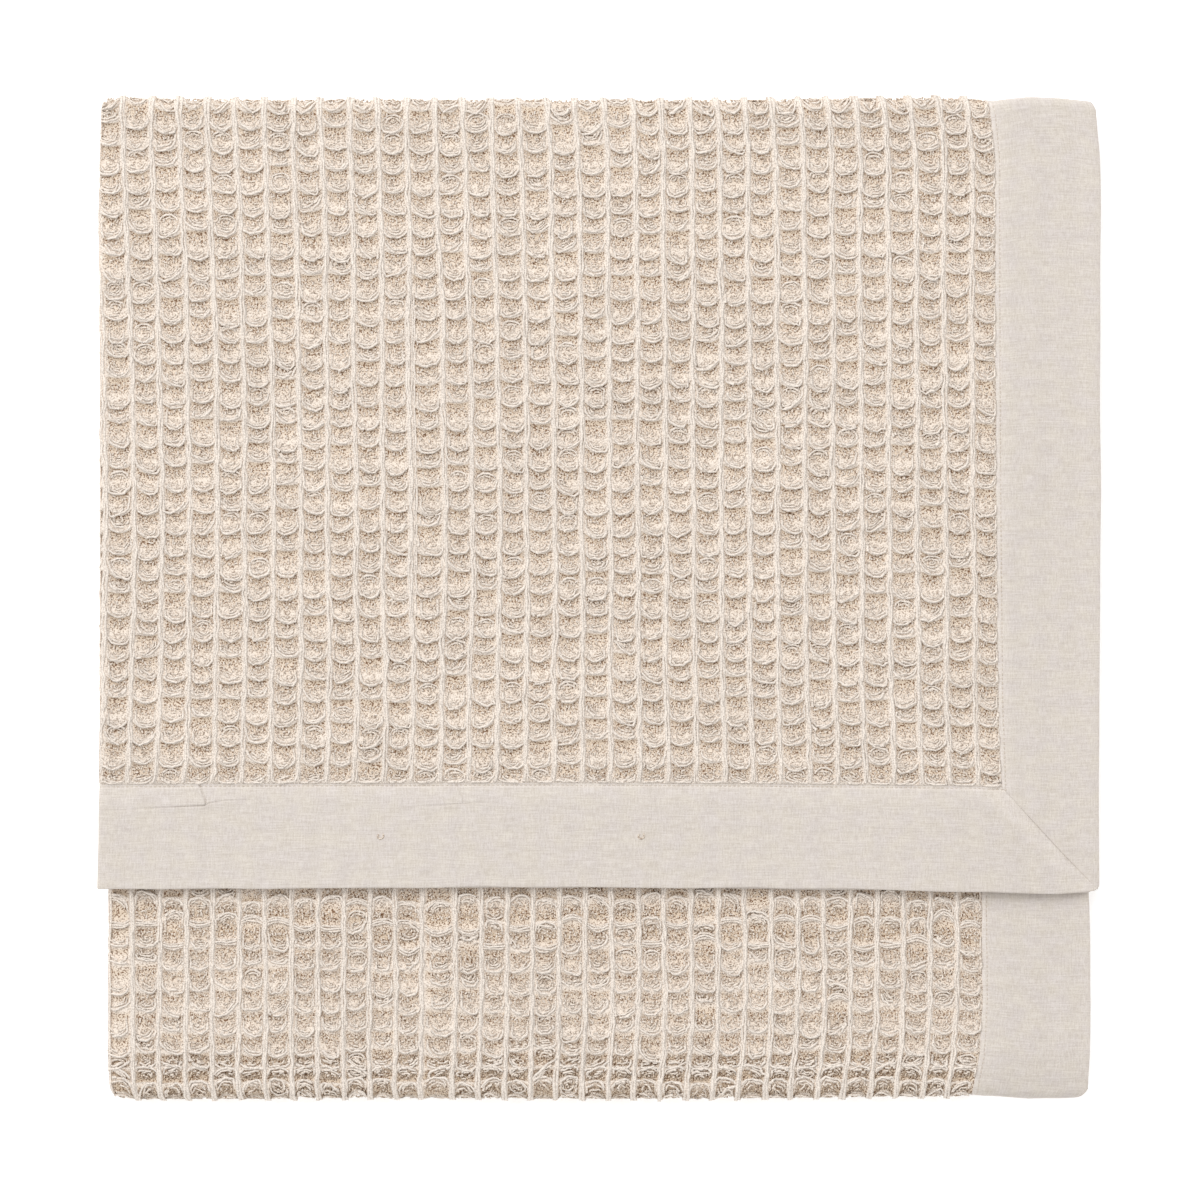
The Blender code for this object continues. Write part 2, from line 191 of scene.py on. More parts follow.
def eased(share):
    """0 to 1 with level ends."""
    share = np.clip(share, 0, 1)
    return share * share * (3 - 2 * share)


def column(rows, name):
    """One field of all the rows of a table."""
    return np.array([getattr(row, name) for row in rows])


def outline(name, along):
    """Where a line of the outline lies, at lengths along the cloth."""
    return np.interp(along, column(OUTLINE, "along"), column(OUTLINE, name))


def straying(name, x):
    """How far a fold or hem strays from its straight line at x."""
    return np.interp(x, column(STRAYING, "x"), column(STRAYING, name))


def line_of(y, name):
    """A function that gives the y of a fold or hem at any x."""
    return lambda x: y + straying(name, x)


back_fold, front_fold = line_of(BACK_FOLD_Y, "back_fold"), line_of(FRONT_FOLD_Y, "front_fold")
front_hem, back_hem = line_of(FRONT_HEM_Y, "front_hem"), line_of(BACK_HEM_Y, "back_hem")
# The cloth lies back and forth in three sections. Each has its lengths along the cloth, the lines
# that it lies between, and 1 where half A is above half B or -1 where it is below.
Section = namedtuple("Section", "start end start_line end_line a_above_b")
TOP = Section(0.0, TOP_END, front_hem, back_fold, 1)
MIDDLE = Section(MIDDLE_START, MIDDLE_END, back_fold, front_fold, -1)
BOTTOM = Section(BOTTOM_START, LENGTH, front_fold, back_hem, 1)
# A fold joins the section above to the one below, and bulges to the back (1) or front (-1).
Fold = namedtuple("Fold", "start above below line outward")
FOLDS = (
    Fold(TOP_END, TOP, MIDDLE, back_fold, 1),
    Fold(MIDDLE_END, MIDDLE, BOTTOM, front_fold, -1),
)
LAYERS = (  # from the lowest to the highest
    (BOTTOM, HALF_B),
    (BOTTOM, HALF_A),
    (MIDDLE, HALF_A),
    (MIDDLE, HALF_B),
    (TOP, HALF_B),
    (TOP, HALF_A),
)


def y_at(section, x, along):
    """The y of a length along the cloth in one of its three sections."""
    share = (along - section.start) / (section.end - section.start)
    return section.start_line(x) + share * (section.end_line(x) - section.start_line(x))


def along_at(section, x, y):
    """The length along the cloth that lies at (x, y) in a section."""
    share = (y - section.start_line(x)) / (section.end_line(x) - section.start_line(x))
    return section.start + share * (section.end - section.start)


def from_edge(section, half, x, y):
    """How far inside its bound edge a layer is at (x, y)."""
    along = along_at(section, x, y)
    set_back = outline("back_a" if half == HALF_A else "back_b", along)
    inside = outline("right", along) - set_back - x
    if section is TOP:
        inside = np.minimum(inside, y - front_hem(x))
    if section is BOTTOM:
        inside = np.minimum(inside, back_hem(x) - y)
    return np.maximum(inside, 0)


def pitch(inside):
    """The height a layer takes up: less where it sinks to its bound edge."""
    return EDGE_PITCH + (LAYER_PITCH - EDGE_PITCH) * eased(inside / SINK_WIDTH)


def thickness(inside, bound):
    """The thickness of a layer, or of the binding on it."""
    if bound:
        return np.full_like(inside, BINDING_THICKNESS)
    full = eased((inside - BINDING_WIDTH) / SEWN_TAPER)
    return SEWN_THICKNESS + (WAFFLE_THICKNESS - SEWN_THICKNESS) * full


def lift(layer, x, y):
    """How far a layer rises off the one under it."""
    across = np.sin(2 * math.pi * x / WAVE_ACROSS + layer * WAVE_SHIFT_ACROSS)
    along = np.sin(2 * math.pi * y / WAVE_ALONG + layer * WAVE_SHIFT_ALONG)
    return UNEVENNESS * (1 + across * along) / 2 * (layer > 0)


def undersides(x, y):
    """{(section, half): the height of that layer's lower face} at (x, y)."""
    heights = {}
    height = np.zeros_like(x)
    for number, (section, half) in enumerate(LAYERS):
        height = height + lift(number, x, y)
        heights[section, half] = height
        height = height + pitch(from_edge(section, half, x, y))
    return heights


def pair_height(section, turn, proud, x, y, bound):
    """The height of a point that stands proud of the middle of its layer, outwards."""
    lower = undersides(x, y)
    middle_a = lower[section, HALF_A] + thickness(from_edge(section, HALF_A, x, y), bound) / 2
    middle_b = lower[section, HALF_B] + thickness(from_edge(section, HALF_B, x, y), bound) / 2
    reach = np.abs(middle_a - middle_b) / 2 + proud
    return (middle_a + middle_b) / 2 + section.a_above_b * turn * reach


def place_across(across, along, proud, bound):
    """(x, turn) of a place on the cloth: where it lies across, and how far round the crease."""
    from_crease = np.abs(across)
    half = np.where(across >= 0, HALF_A, HALF_B)
    set_back = np.where(half == HALF_A, outline("back_a", along), outline("back_b", along))
    seam = outline("seam", along) - set_back
    right = outline("right", along) - set_back
    from_hem = np.minimum(along, LENGTH - along)
    spread = pitch(from_hem) / 2
    centre = outline("left", along) + spread + thickness(from_hem, bound) / 2
    # The waffle cloth is spread from the crease to the seam, and the binding from there.
    inner = (from_crease - LEFT_TURN) / (SEAM_ACROSS - LEFT_TURN)
    outer = (from_crease - SEAM_ACROSS) / BINDING_WIDTH
    laid = np.where(
        from_crease < SEAM_ACROSS,
        centre + inner * (seam - centre),
        seam + outer * (right - seam),
    )
    # At the crease the cloth turns over, by a quarter circle in each half.
    angle = np.clip(from_crease / LEFT_TURN, 0, 1) * math.pi / 2
    turned = centre - (spread + proud) * np.cos(angle)
    return np.where(from_crease < LEFT_TURN, turned, laid), half * np.sin(angle)


def folded(across, along, proud, bound=False):
    """Where places on the flat cloth lie in the folded blanket, as an array of (x, y, z).

    proud is how far each stands out from the middle of its layer, on the cloth's right side.
    """
    across, along, proud = np.broadcast_arrays(across, along, proud)
    shape = across.shape
    across, along, proud = (np.ravel(values).astype(float) for values in (across, along, proud))
    x, turn = place_across(across, along, proud, bound)
    places = np.column_stack([x, x, x])
    for section in (TOP, MIDDLE, BOTTOM):
        at = (along >= section.start - MM) & (along <= section.end + MM)
        y = y_at(section, x[at], along[at])
        places[at, 1] = y
        places[at, 2] = pair_height(section, turn[at], proud[at], x[at], y, bound)
    for fold in FOLDS:
        at = (along > fold.start) & (along < fold.start + FOLD_ARC)
        y = fold.line(x[at])
        over = pair_height(fold.above, turn[at], proud[at], x[at], y, bound)
        under = pair_height(fold.below, turn[at], proud[at], x[at], y, bound)
        angle = math.pi * (along[at] - fold.start) / FOLD_ARC
        radius = (over - under) / 2
        places[at, 1] = y + fold.outward * radius * np.sin(angle)
        places[at, 2] = (over + under) / 2 + radius * np.cos(angle)
    places[:, 0] += PLAN_SHIFT[0]
    places[:, 1] += PLAN_SHIFT[1]
    places[:, 2] = np.maximum(places[:, 2], 0)
    return places.reshape(*shape, 3)


def flattening(across, along):
    """1 on the full waffle, and less where it is sewn down flat beside a binding."""
    inside = np.minimum(np.minimum(along, LENGTH - along), HALF_WIDTH - np.abs(across))
    return thickness(inside, False) / WAFFLE_THICKNESS


def round_fold(along):
    """1 at the middle of a fold's turn, and 0 where the cloth lies flat."""
    return sum(np.exp(-(((along - fold.start - FOLD_ARC / 2) / FOLD_REACH) ** 2)) for fold in FOLDS)


def by_front_fold(along):
    """0 up the cloth, and 1 in the last rows of cells above the front fold."""
    return eased((along - MIDDLE_END + FRONT_ROWS_START) / FRONT_ROWS_EASING)


def crowded(along):
    """Where a row of cells comes to lie, since the rows crowd together at the folds."""
    moved = along
    for fold in CROWDINGS:
        share = eased((along - fold.start + fold.before) / fold.rise)
        moved = moved - fold.shift * (share * eased((fold.end + fold.past - along) / fold.fall))
    return moved


def in_strip(along):
    """0 to 1 where the middle section comes to show in front."""
    return eased((along - STRIP_START) / STRIP_FADE)


def gentle_noise(x, y, size, seed):
    """Soft noise from about -1 to 1 with lumps of about the given size."""
    rng = np.random.default_rng(seed)
    total = np.zeros(np.broadcast(x, y).shape)
    for _ in range(7):
        heading, start = rng.uniform(0, 2 * math.pi, 2)
        step = 2 * math.pi / (size * rng.uniform(1.4, 3.4))
        total += np.sin(step * (x * math.cos(heading) + y * math.sin(heading)) + start)
    return total / 3


def strayed(values, spread, rng):
    """The values, each of them off by chance."""
    return values + rng.normal(0, spread, np.shape(values))


class Weave:
    """Where the ridges and rims of the waffle lie on the flat cloth, by chance with a fixed seed."""

    COLUMNS = 34  # of cells in each half, and one more

    def __init__(self, sizes):
        self.width = sizes.cell_width
        self.length = sizes.cell_length
        self.rows = int((CLOTH_END - CLOTH_START) / self.length)
        rng = np.random.default_rng(sizes.seed)
        shape = (self.rows + 2, 2 * self.COLUMNS)
        self.slip = rng.normal(0, SLIP_SPREAD, shape)
        self.sags = np.clip(rng.normal(SAG_USUAL, SAG_SPREAD, shape), SAG_LEAST, SAG_MOST)
        self.arched = rng.random(shape)
        self.sags[self.arched < STRAIGHT_CHANCE] *= STRAIGHT_SAG
        self.start = rng.uniform(0, 2 * math.pi, 2 * self.COLUMNS)
        self.whims = rng.normal(0, WHIM_SPREAD, shape)

    def lean(self, along):
        """Which way the rims hang at a length, on the whole."""
        from_hem = np.minimum(along - CLOTH_START, CLOTH_END - along)
        return np.interp(along, HANG_PLACES, HANG_WAYS) * eased(from_hem / self.length)

    def hang(self, row, number):
        """How much one cell's rim hangs, and which way."""
        row = np.clip(row, 0, self.rows)
        along = self.rim(row, number)
        shown = (along > STRIP_START) & (along < WHIMS_END) & (np.asarray(number) < 0)
        way = self.lean(along) + shown * self.whims[row, number + self.COLUMNS]
        clear = np.copysign(np.maximum(CLEAR_FACTOR * np.abs(way), CLEAR_LEAST), way)
        way = np.where(shown & (along < CLEAR_END), clear, way)
        return np.clip(way, -1, 1) * (row > 0) * (row < self.rows)

    def cell_lean(self, row, number):
        """Which way a cell leans as a whole, between its two rims."""
        return (self.hang(row, number) + self.hang(np.asarray(row) + 1, number)) / 2

    def bow(self, across, along):
        """How far the ridges stray sideways from straight lines."""
        bend = ((along - BOW_MIDDLE) / BOW_REACH) ** 2 * np.clip(1 - across / BOW_FADE, 0, 1)
        bend = BOW * bend * (1 - eased((along - TOP_END) / BOW_ENDING)) * (across > -self.width)
        shown = eased((along - CREASE_STARTS) / CREASE_EASING)
        shown = shown * eased((CREASE_ENDS - along) / CREASE_EASING)
        shown = shown + eased((along - STRIP_START) / 0.02)
        off = np.abs(across) - CREASE_ACROSS
        widening = CREASE_WIDENING * np.sign(off) * np.exp(-np.abs(off) / CREASE_FADE) * shown
        return widening * np.sign(across) - bend

    def ridge(self, number, along):
        """The place across of a ridge. Number 0 runs beside the crease at the left."""
        number, along = np.broadcast_arrays(np.asarray(number), np.asarray(along, float))
        narrowed = number * self.width * HALF_B_NARROWING + HALF_B_SHIFT
        across = FIRST_RIDGE + np.where(number < 0, narrowed, number * self.width)
        start = self.start[number + self.COLUMNS]
        wobble = sum(share * np.sin(along / size + turn * start) for share, size, turn in WOBBLES)
        wobble = wobble + CELL_WOBBLE * np.sin(2 * math.pi * along / self.length + CELL_TURN * start)
        return across + self.bow(across, along) + RIDGE_WOBBLE * wobble

    def across(self, number, share, along):
        """A place between ridge number and the next one."""
        start = self.ridge(number, along)
        return start + share * (self.ridge(number + 1, along) - start)

    def open_part(self, number, along):
        """(half width, middle) of a cell's open part. Beside the crease it ends at a welt."""
        wide = (self.ridge(number + 1, along) - self.ridge(number, along)) / 2
        kept = np.minimum(wide, WIDEST_OPEN * self.width)
        side = np.where(np.asarray(number) < 0, -1, 1)
        return kept, self.across(number, 0.5, along) + side * (wide - kept)

    def rim(self, row, number):
        """The length at which the lower rim of a cell lies at its ridges, without its sag."""
        row = np.asarray(row)
        slip = self.slip[np.clip(row, 0, self.rows), number + self.COLUMNS]
        wave = ROW_WAVE * np.sin(number / 3.1 + row / 2.3)
        ends = (row > 0) & (row < self.rows)
        step = (CLOTH_END - CLOTH_START) / self.rows
        return crowded(CLOTH_START + step * row + self.length * (slip + wave) * ends)

    def sag(self, row, number, share):
        """How far a rim hangs along the cloth, at a share of its cell's width."""
        amount = self.sags[np.clip(row, 0, self.rows), number + self.COLUMNS]
        across = 1 - (2 * share - 1) ** 2
        pulled = RIM_OFFSET * self.lean(self.rim(row, number))
        return self.length * (self.hang(row, number) * amount * across - pulled)


# The ground cloth's section: heights from 0 to 1 at shares of a cell's width, and then at shares
# of its length where its rim hangs over and where it doesn't.
RIDGE_AT = (0.0, 0.08, 0.17, 0.38, 0.62, 0.83, 0.92, 1.0)
RIDGE_HEIGHTS = (1.0, 0.78, 0.16, 0.0, 0.0, 0.16, 0.78, 1.0)
BROAD_RIDGE = (1.3, 1.25, 1.0, 0.2, 0.2, 1.0, 1.25, 1.3)  # round the folds
CORNER_FALL = (0, 0, 0.8, 0, 0, 0.8, 0, 0)  # how much sooner the ground falls beside them
HANG_AT = (0.0, 0.28, 0.60, 0.90, 1.0)
HANG_HEIGHTS = (0.90, 0.68, 0.34, 0.03, 0.90)
EVEN_HEIGHTS = (0.96, 0.30, 0.0, 0.62, 0.96)
SIDE_HEIGHT = 0.5  # where the cloth ends beside a strip


def cell_height(share, lean):
    """The ground's height, 0 to 1, at a share of the length from one rim to the next."""
    to_start = np.interp(share, HANG_AT, HANG_HEIGHTS)
    to_end = np.interp(1 - share, HANG_AT, HANG_HEIGHTS)
    even = np.interp(share, HANG_AT, EVEN_HEIGHTS)
    hung = np.where(lean < 0, to_start, to_end)
    return even + (hung - even) * np.minimum(np.abs(lean), 1)


def srgb(code):
    """An sRGB hex colour as linear values, as Blender's shaders take it."""
    values = [int(code[i : i + 2], 16) / 255 for i in (0, 2, 4)]
    return [v / 12.92 if v <= 0.04045 else ((v + 0.055) / 1.055) ** 2.4 for v in values]


def add_node(tree, kind, links=(), **settings):
    """A node of a tree, with its settings and with its inputs' values or links."""
    made = tree.nodes.new(kind)
    for name, value in settings.items():
        setattr(made, name, value)
    for socket, value in dict(links).items():
        if isinstance(value, bpy.types.NodeSocket):
            tree.links.new(value, made.inputs[socket])
        else:
            made.inputs[socket].default_value = value
    return made


def new_material(name):
    """(material, node tree, shader) with nothing set yet."""
    material = bpy.data.materials.new(name)
    material.use_nodes = True
    return material, material.node_tree, material.node_tree.nodes["Principled BSDF"]


def mixed(tree, share, first, second, blend="MIX"):
    """The colour output of two colours mixed by a share."""
    node = add_node(tree, "ShaderNodeMix", data_type="RGBA", blend_type=blend)
    for socket, value in ((0, share), (6, first), (7, second)):
        if isinstance(value, bpy.types.NodeSocket):
            tree.links.new(value, node.inputs[socket])
        else:
            node.inputs[socket].default_value = value if socket == 0 else (*value, 1)
    return node.outputs[2]


def remap(tree, value, span, result):
    """A number mapped from one span to another, and kept within it."""
    low, high = span
    links = {"Value": value, "From Min": low, "From Max": high, "To Min": result[0], "To Max": result[1]}
    return add_node(tree, "ShaderNodeMapRange", links).outputs[0]


def reckoned(tree, operation, *values):
    """The outcome of a sum on numbers."""
    return add_node(tree, "ShaderNodeMath", dict(enumerate(values)), operation=operation).outputs[0]


def noise(tree, place, size, detail):
    """Noise from 0 to 1 with lumps of a size in metres."""
    links = {"Vector": place, "Scale": 1 / size, "Detail": detail}
    return add_node(tree, "ShaderNodeTexNoise", links).outputs["Fac"]


def dyed(tree, shader, colour, light):
    """Gives the shader a colour that is made paler or darker by a number."""
    scaled = add_node(tree, "ShaderNodeVectorMath", {0: colour, "Scale": light}, operation="SCALE")
    tree.links.new(scaled.outputs[0], shader.inputs["Base Color"])


def set_values(shader, **values):
    """Sets sockets of a shader that have one value all over the surface."""
    for name, value in values.items():
        shader.inputs[name.replace("_", " ")].default_value = value


def cotton_yarn(colours):
    """Carded cotton yarn, plied and undyed.

    Its loose fibres scatter light, so it is matt with a faint sheen. The attribute of tone is 1
    on the ridges and 0 in the pits, and paints shade: the lower a place lies, the darker and
    browner it is painted, and the more of the weave's gaps show there, painted dark brown as the
    shadow in the holes between the yarns.
    """
    material, tree, shader = new_material("carded_cotton_yarn")
    place = add_node(tree, "ShaderNodeTexCoord").outputs["Object"]
    tone = add_node(tree, "ShaderNodeAttribute", attribute_name="tone").outputs["Fac"]
    # The gaps of the weave are 1 mm apart, and lumps of slack carding are about 24 mm apart.
    gap = noise(tree, place, 1.0 * MM, 2)
    lumps = noise(tree, place, 24 * MM, 2)
    # A gap opens where the noise is low, and shows far less on the ridges than in the pits. Its dark
    # brown is painted shadow, the shade in the hole between the yarns.
    gap_shade_share = remap(tree, gap, (0.48, 0.40), (0.0, 1.0))
    shown = reckoned(tree, "MULTIPLY", gap_shade_share, remap(tree, tone, (0.3, 1.0), (1.0, 0.14)))
    # Painted shade: the lower a place lies, the more it takes of the darker pit colour than of the yarn
    # colour.
    base = mixed(tree, shown, mixed(tree, tone, srgb(colours.pit), srgb(colours.yarn)), srgb(colours.gap))
    fine = remap(tree, gap, (0.38, 0.62), (0.86, 1.08))
    drift = remap(tree, lumps, (0.3, 0.7), (0.97, 1.03))
    # Below 0, the tone paints more shade on the deepest pits, above the front fold, where little light comes.
    painted_fold_shade = remap(tree, tone, (-1.0, 0.0), (0.62, 1.0))
    dyed(tree, shader, base, reckoned(tree, "MULTIPLY", reckoned(tree, "MULTIPLY", fine, drift), painted_fold_shade))
    bump = add_node(tree, "ShaderNodeBump", {"Height": gap, "Distance": 0.5 * MM, "Strength": 0.65})
    tree.links.new(bump.outputs[0], shader.inputs["Normal"])
    set_values(shader, Roughness=0.95, Sheen_Weight=0.1, Sheen_Roughness=0.6)
    return material


THREADS_APART = 0.9 * MM  # as drawn in the binding


def union_cloth(colours):
    """Plain weave of linen and cotton, pressed.

    Linen threads vary in thickness, so fine streaks run both ways and a slub shows here and
    there. The threads are 0.6 mm apart, and are drawn 0.9 mm apart so that they show. The shade
    attribute is painted light and shade: how much paler a place is painted than the rest where it
    catches the light, and below 0 where shade is painted on it.
    """
    material, tree, shader = new_material("linen_cotton_plain_weave")
    flat = add_node(tree, "ShaderNodeUVMap", uv_map="cloth").outputs[0]
    streaks = []
    for run_across, run_along in ((THREADS_APART, 6 * MM), (13 * MM, THREADS_APART)):
        scale = (1 / run_across, 1 / run_along, 1)
        stretched = add_node(tree, "ShaderNodeMapping", {"Vector": flat, "Scale": scale})
        streaks.append(noise(tree, stretched.outputs[0], 1.0, 2))
    crossed = reckoned(tree, "ADD", reckoned(tree, "ADD", *streaks), noise(tree, flat, THREADS_APART, 2))
    mottle = noise(tree, flat, 13 * MM, 3)
    threads = remap(tree, crossed, (1.18, 1.82), (0.0, 1.0))
    base = mixed(tree, threads, srgb(colours.weft), srgb(colours.binding))
    tint = mixed(tree, remap(tree, mottle, (0.36, 0.64), (0, 1)), srgb(colours.warm), srgb(colours.cool))
    tinted = mixed(tree, 1.0, base, tint, "MULTIPLY")
    # The ridges and rims of the waffle cloth inside are pressed through the strip, faintly: as a bump, and as
    # shade painted into the colour along with the random mottle.
    place = add_node(tree, "ShaderNodeSeparateXYZ", {"Vector": flat}).outputs
    ribs = [
        reckoned(tree, "SINE", reckoned(tree, "MULTIPLY", place[axis], 2 * math.pi / cell))
        for axis, cell in (("X", CELL_WIDTH), ("Y", CELL_LENGTH))
    ]
    uneven = reckoned(tree, "MULTIPLY_ADD", mottle, 7.0, -3.5)
    pressed = reckoned(tree, "ADD", reckoned(tree, "ADD", *ribs), uneven)
    # The painted light and shade of the strip, from its shade attribute.
    shade = add_node(tree, "ShaderNodeAttribute", attribute_name="shade").outputs["Fac"]
    shaded = remap(tree, shade, (-0.2, 0.2), (0.8, 1.2))
    rib_shade_and_mottle = remap(tree, pressed, (-2.0, 2.0), (0.980, 1.016))
    dyed(tree, shader, tinted, reckoned(tree, "MULTIPLY", rib_shade_and_mottle, shaded))
    pushed = add_node(tree, "ShaderNodeBump", {"Height": pressed, "Distance": 0.1 * MM, "Strength": 0.5})
    bump = add_node(
        tree,
        "ShaderNodeBump",
        {"Height": crossed, "Distance": 0.12 * MM, "Strength": 0.5, "Normal": pushed.outputs[0]},
    )
    tree.links.new(bump.outputs[0], shader.inputs["Normal"])
    set_values(shader, Roughness=0.86, Sheen_Weight=0.06)
    return material


def sewing_thread(colours):
    """Spun polyester sewing thread: a little smoother and brighter than the cloth."""
    material, tree, shader = new_material("spun_sewing_thread")
    place = add_node(tree, "ShaderNodeTexCoord").outputs["Object"]
    twist = remap(tree, noise(tree, place, 0.8 * MM, 1), (0.3, 0.7), (0, 0.4))
    base = mixed(tree, twist, srgb(colours.thread), srgb(colours.weft))
    tree.links.new(base, shader.inputs["Base Color"])
    set_values(shader, Roughness=0.7)
    return material


def new_object(name, mesh, material):
    """An object in the scene with the mesh and one material."""
    mesh.materials.append(material)
    piece = bpy.data.objects.new(name, mesh)
    bpy.context.scene.collection.objects.link(piece)
    return piece


def made_mesh(name, places, faces=(), edges=()):
    """A mesh from arrays or lists of places, faces and edges."""
    mesh = bpy.data.meshes.new(name)
    mesh.from_pydata(places.tolist(), [tuple(edge) for edge in edges], [tuple(face) for face in faces])
    return mesh


def path_edges(start, count):
    """Edges from each vertex to the next, for so many vertices from a first one."""
    ids = np.arange(start, start + count)
    return np.stack([ids[:-1], ids[1:]], 1)


def point_values(mesh, **values):
    """Stores one number for each vertex under each name."""
    for name, numbers in values.items():
        layer = mesh.attributes.new(name, "FLOAT", "POINT")
        layer.data.foreach_set("value", np.ascontiguousarray(numbers, dtype=np.float32).ravel())


# The ground cloth. A station is one line of vertices across the cloth.
DENSE_SHARES = RIDGE_AT[:-1]
SPARSE_SHARES = (0.0, 0.33, 0.67)
DENSE_LEVELS = HANG_AT[:-1]
SPARSE_LEVELS = (0.0, 0.30, 0.72)
INNER_STOPS = (0.002, 0.004, 0.012, 0.03, 0.1, 0.2, 0.3, 0.4, 0.48, 0.56)  # on its inner side
COMPARED_AT = 0.25  # the length along the cloth at which places across it are compared
GROUND_END = SEAM_ACROSS - 2.2 * MM  # how far across the vertices of the cells go
RIM_OVERHANG = 0.9 * MM  # how far the ground bulges over the foot of a rim
FRONT_DEEPER = 0.9 * MM  # how much deeper still the pits of the last rows above the front fold are
STRIP_PAINTED_SHADE, FRONT_PAINTED_SHADE = 0.02, 0.45  # how much darker those pits are painted, in tone, as painted shade where they lie deep
# The ground's tone paints shade: brown only at the foot of the walls, in the shade under the rims, and pale
# from there up.
TONE_HEIGHTS, PIT_SHADE_TONES = (0.0, 0.12, 0.35, 0.6, 1.0), (0.0, 0.10, 0.42, 0.80, 0.93)


def band(first, first_at, second, second_at):
    """Faces between two lines of vertices, whose places across need not be the same."""
    if len(first) == len(second) and np.array_equal(first_at, second_at):
        return np.column_stack([first[:-1], first[1:], second[1:], second[:-1]]).tolist()
    # Triangles: each takes its next corner from the line whose next place comes first.
    faces = []
    i = j = 0
    while i < len(first) - 1 or j < len(second) - 1:
        ahead = j == len(second) - 1 or (i < len(first) - 1 and first_at[i + 1] <= second_at[j + 1])
        if ahead:
            faces.append((first[i], first[i + 1], second[j]))
            i += 1
        else:
            faces.append((first[i], second[j + 1], second[j]))
            j += 1
    return faces


def ground_columns(weave, half_a, half_b):
    """(ridge numbers, shares) of the outer vertices, at the given shares in each half."""
    places = []
    last = int((SEAM_ACROSS - FIRST_RIDGE) / weave.width)
    for number in range(-last - 2, last + 1):
        near_crease = number in (-1, 0)
        shares = DENSE_SHARES if near_crease else (half_a if number >= 0 else half_b)
        places += [(number, share) for share in shares]
    numbers = np.array([number for number, _ in places])
    shares = np.array([share for _, share in places])
    nominal = weave.across(numbers, shares, np.full(len(places), COMPARED_AT))
    inside = np.abs(nominal) < GROUND_END
    return numbers[inside], shares[inside], nominal[inside]


def ground_stations(weave):
    """(row, level, shares in half A, shares in half B) of each station along the cloth."""
    stations = []
    for row in range(weave.rows):
        along = float(weave.rim(row, 0))
        top = along < ROUND_BACK
        strip = STRIP_START - weave.length < along < STRIP_END
        under = along >= STRIP_END
        half_a = DENSE_SHARES if top else (0.0,)
        half_b = DENSE_SHARES if strip else (SPARSE_SHARES if under else (0.0,))
        for level in DENSE_LEVELS if top or strip else SPARSE_LEVELS:
            stations.append((row, level, half_a, half_b))
    stations.append((weave.rows, 0.0, (0.0,), SPARSE_SHARES))
    return stations


def between(first, values, last):
    """The values with one more at each end."""
    return np.concatenate([[first], values, [last]])


def ground_line(weave, row, level, half_a, half_b):
    """(across, along, proud, height, nominal places) of one station's outer vertices."""
    numbers, shares, nominal = ground_columns(weave, half_a, half_b)
    lean = weave.cell_lean(row, numbers)
    lower = weave.rim(row, numbers) + weave.sag(row, numbers, shares)
    upper = weave.rim(row + 1, numbers) + weave.sag(row + 1, numbers, shares)
    along = lower + level * (upper - lower)
    ridge = np.interp(shares, RIDGE_AT, RIDGE_HEIGHTS)
    # The ground bulges over the foot of its rim, but not at the ridges.
    if level == 0:
        along = along + weave.hang(row, numbers) * RIM_OVERHANG * (1 - ridge)
    # Beside the ridges the ground falls sooner towards the deep end of the pit.
    corner = np.interp(shares, RIDGE_AT, CORNER_FALL)
    far = 0.5 - (level - 0.5) * np.clip(lean, -1, 1)
    height = ridge + (1 - ridge) * cell_height(level, lean) * (1 - corner * far * (level > 0))
    across = between(-CLOTH_SIDE, weave.across(numbers, shares, along), CLOTH_SIDE)
    along = np.clip(between(along[0], along, along[-1]), CLOTH_START, CLOTH_END)
    height = between(SIDE_HEIGHT, height, SIDE_HEIGHT)
    low = RELIEF_LOW - STRIP_DEEPER * (across < 0) * in_strip(along)
    low = low - FRONT_DEEPER * (across < 0) * by_front_fold(along)
    proud = low + (RELIEF_HIGH - low) * height
    broad = between(SIDE_HEIGHT, np.interp(shares, RIDGE_AT, BROAD_RIDGE), SIDE_HEIGHT)
    proud = proud - FOLD_SINK * round_fold(along) * (1 - broad)
    proud = proud * flattening(across, along)
    return across, along, proud, height, between(-CLOTH_SIDE, nominal, CLOTH_SIDE)


def ground_tone(across, along, height):
    """The ground's tone, which paints shade: pale on the ridges, and painted brown as shade in the pits."""
    painted_shade = (across < 0) * (STRIP_PAINTED_SHADE * in_strip(along) + FRONT_PAINTED_SHADE * by_front_fold(along))
    return np.interp(height, TONE_HEIGHTS, PIT_SHADE_TONES) - painted_shade * (1 - height)


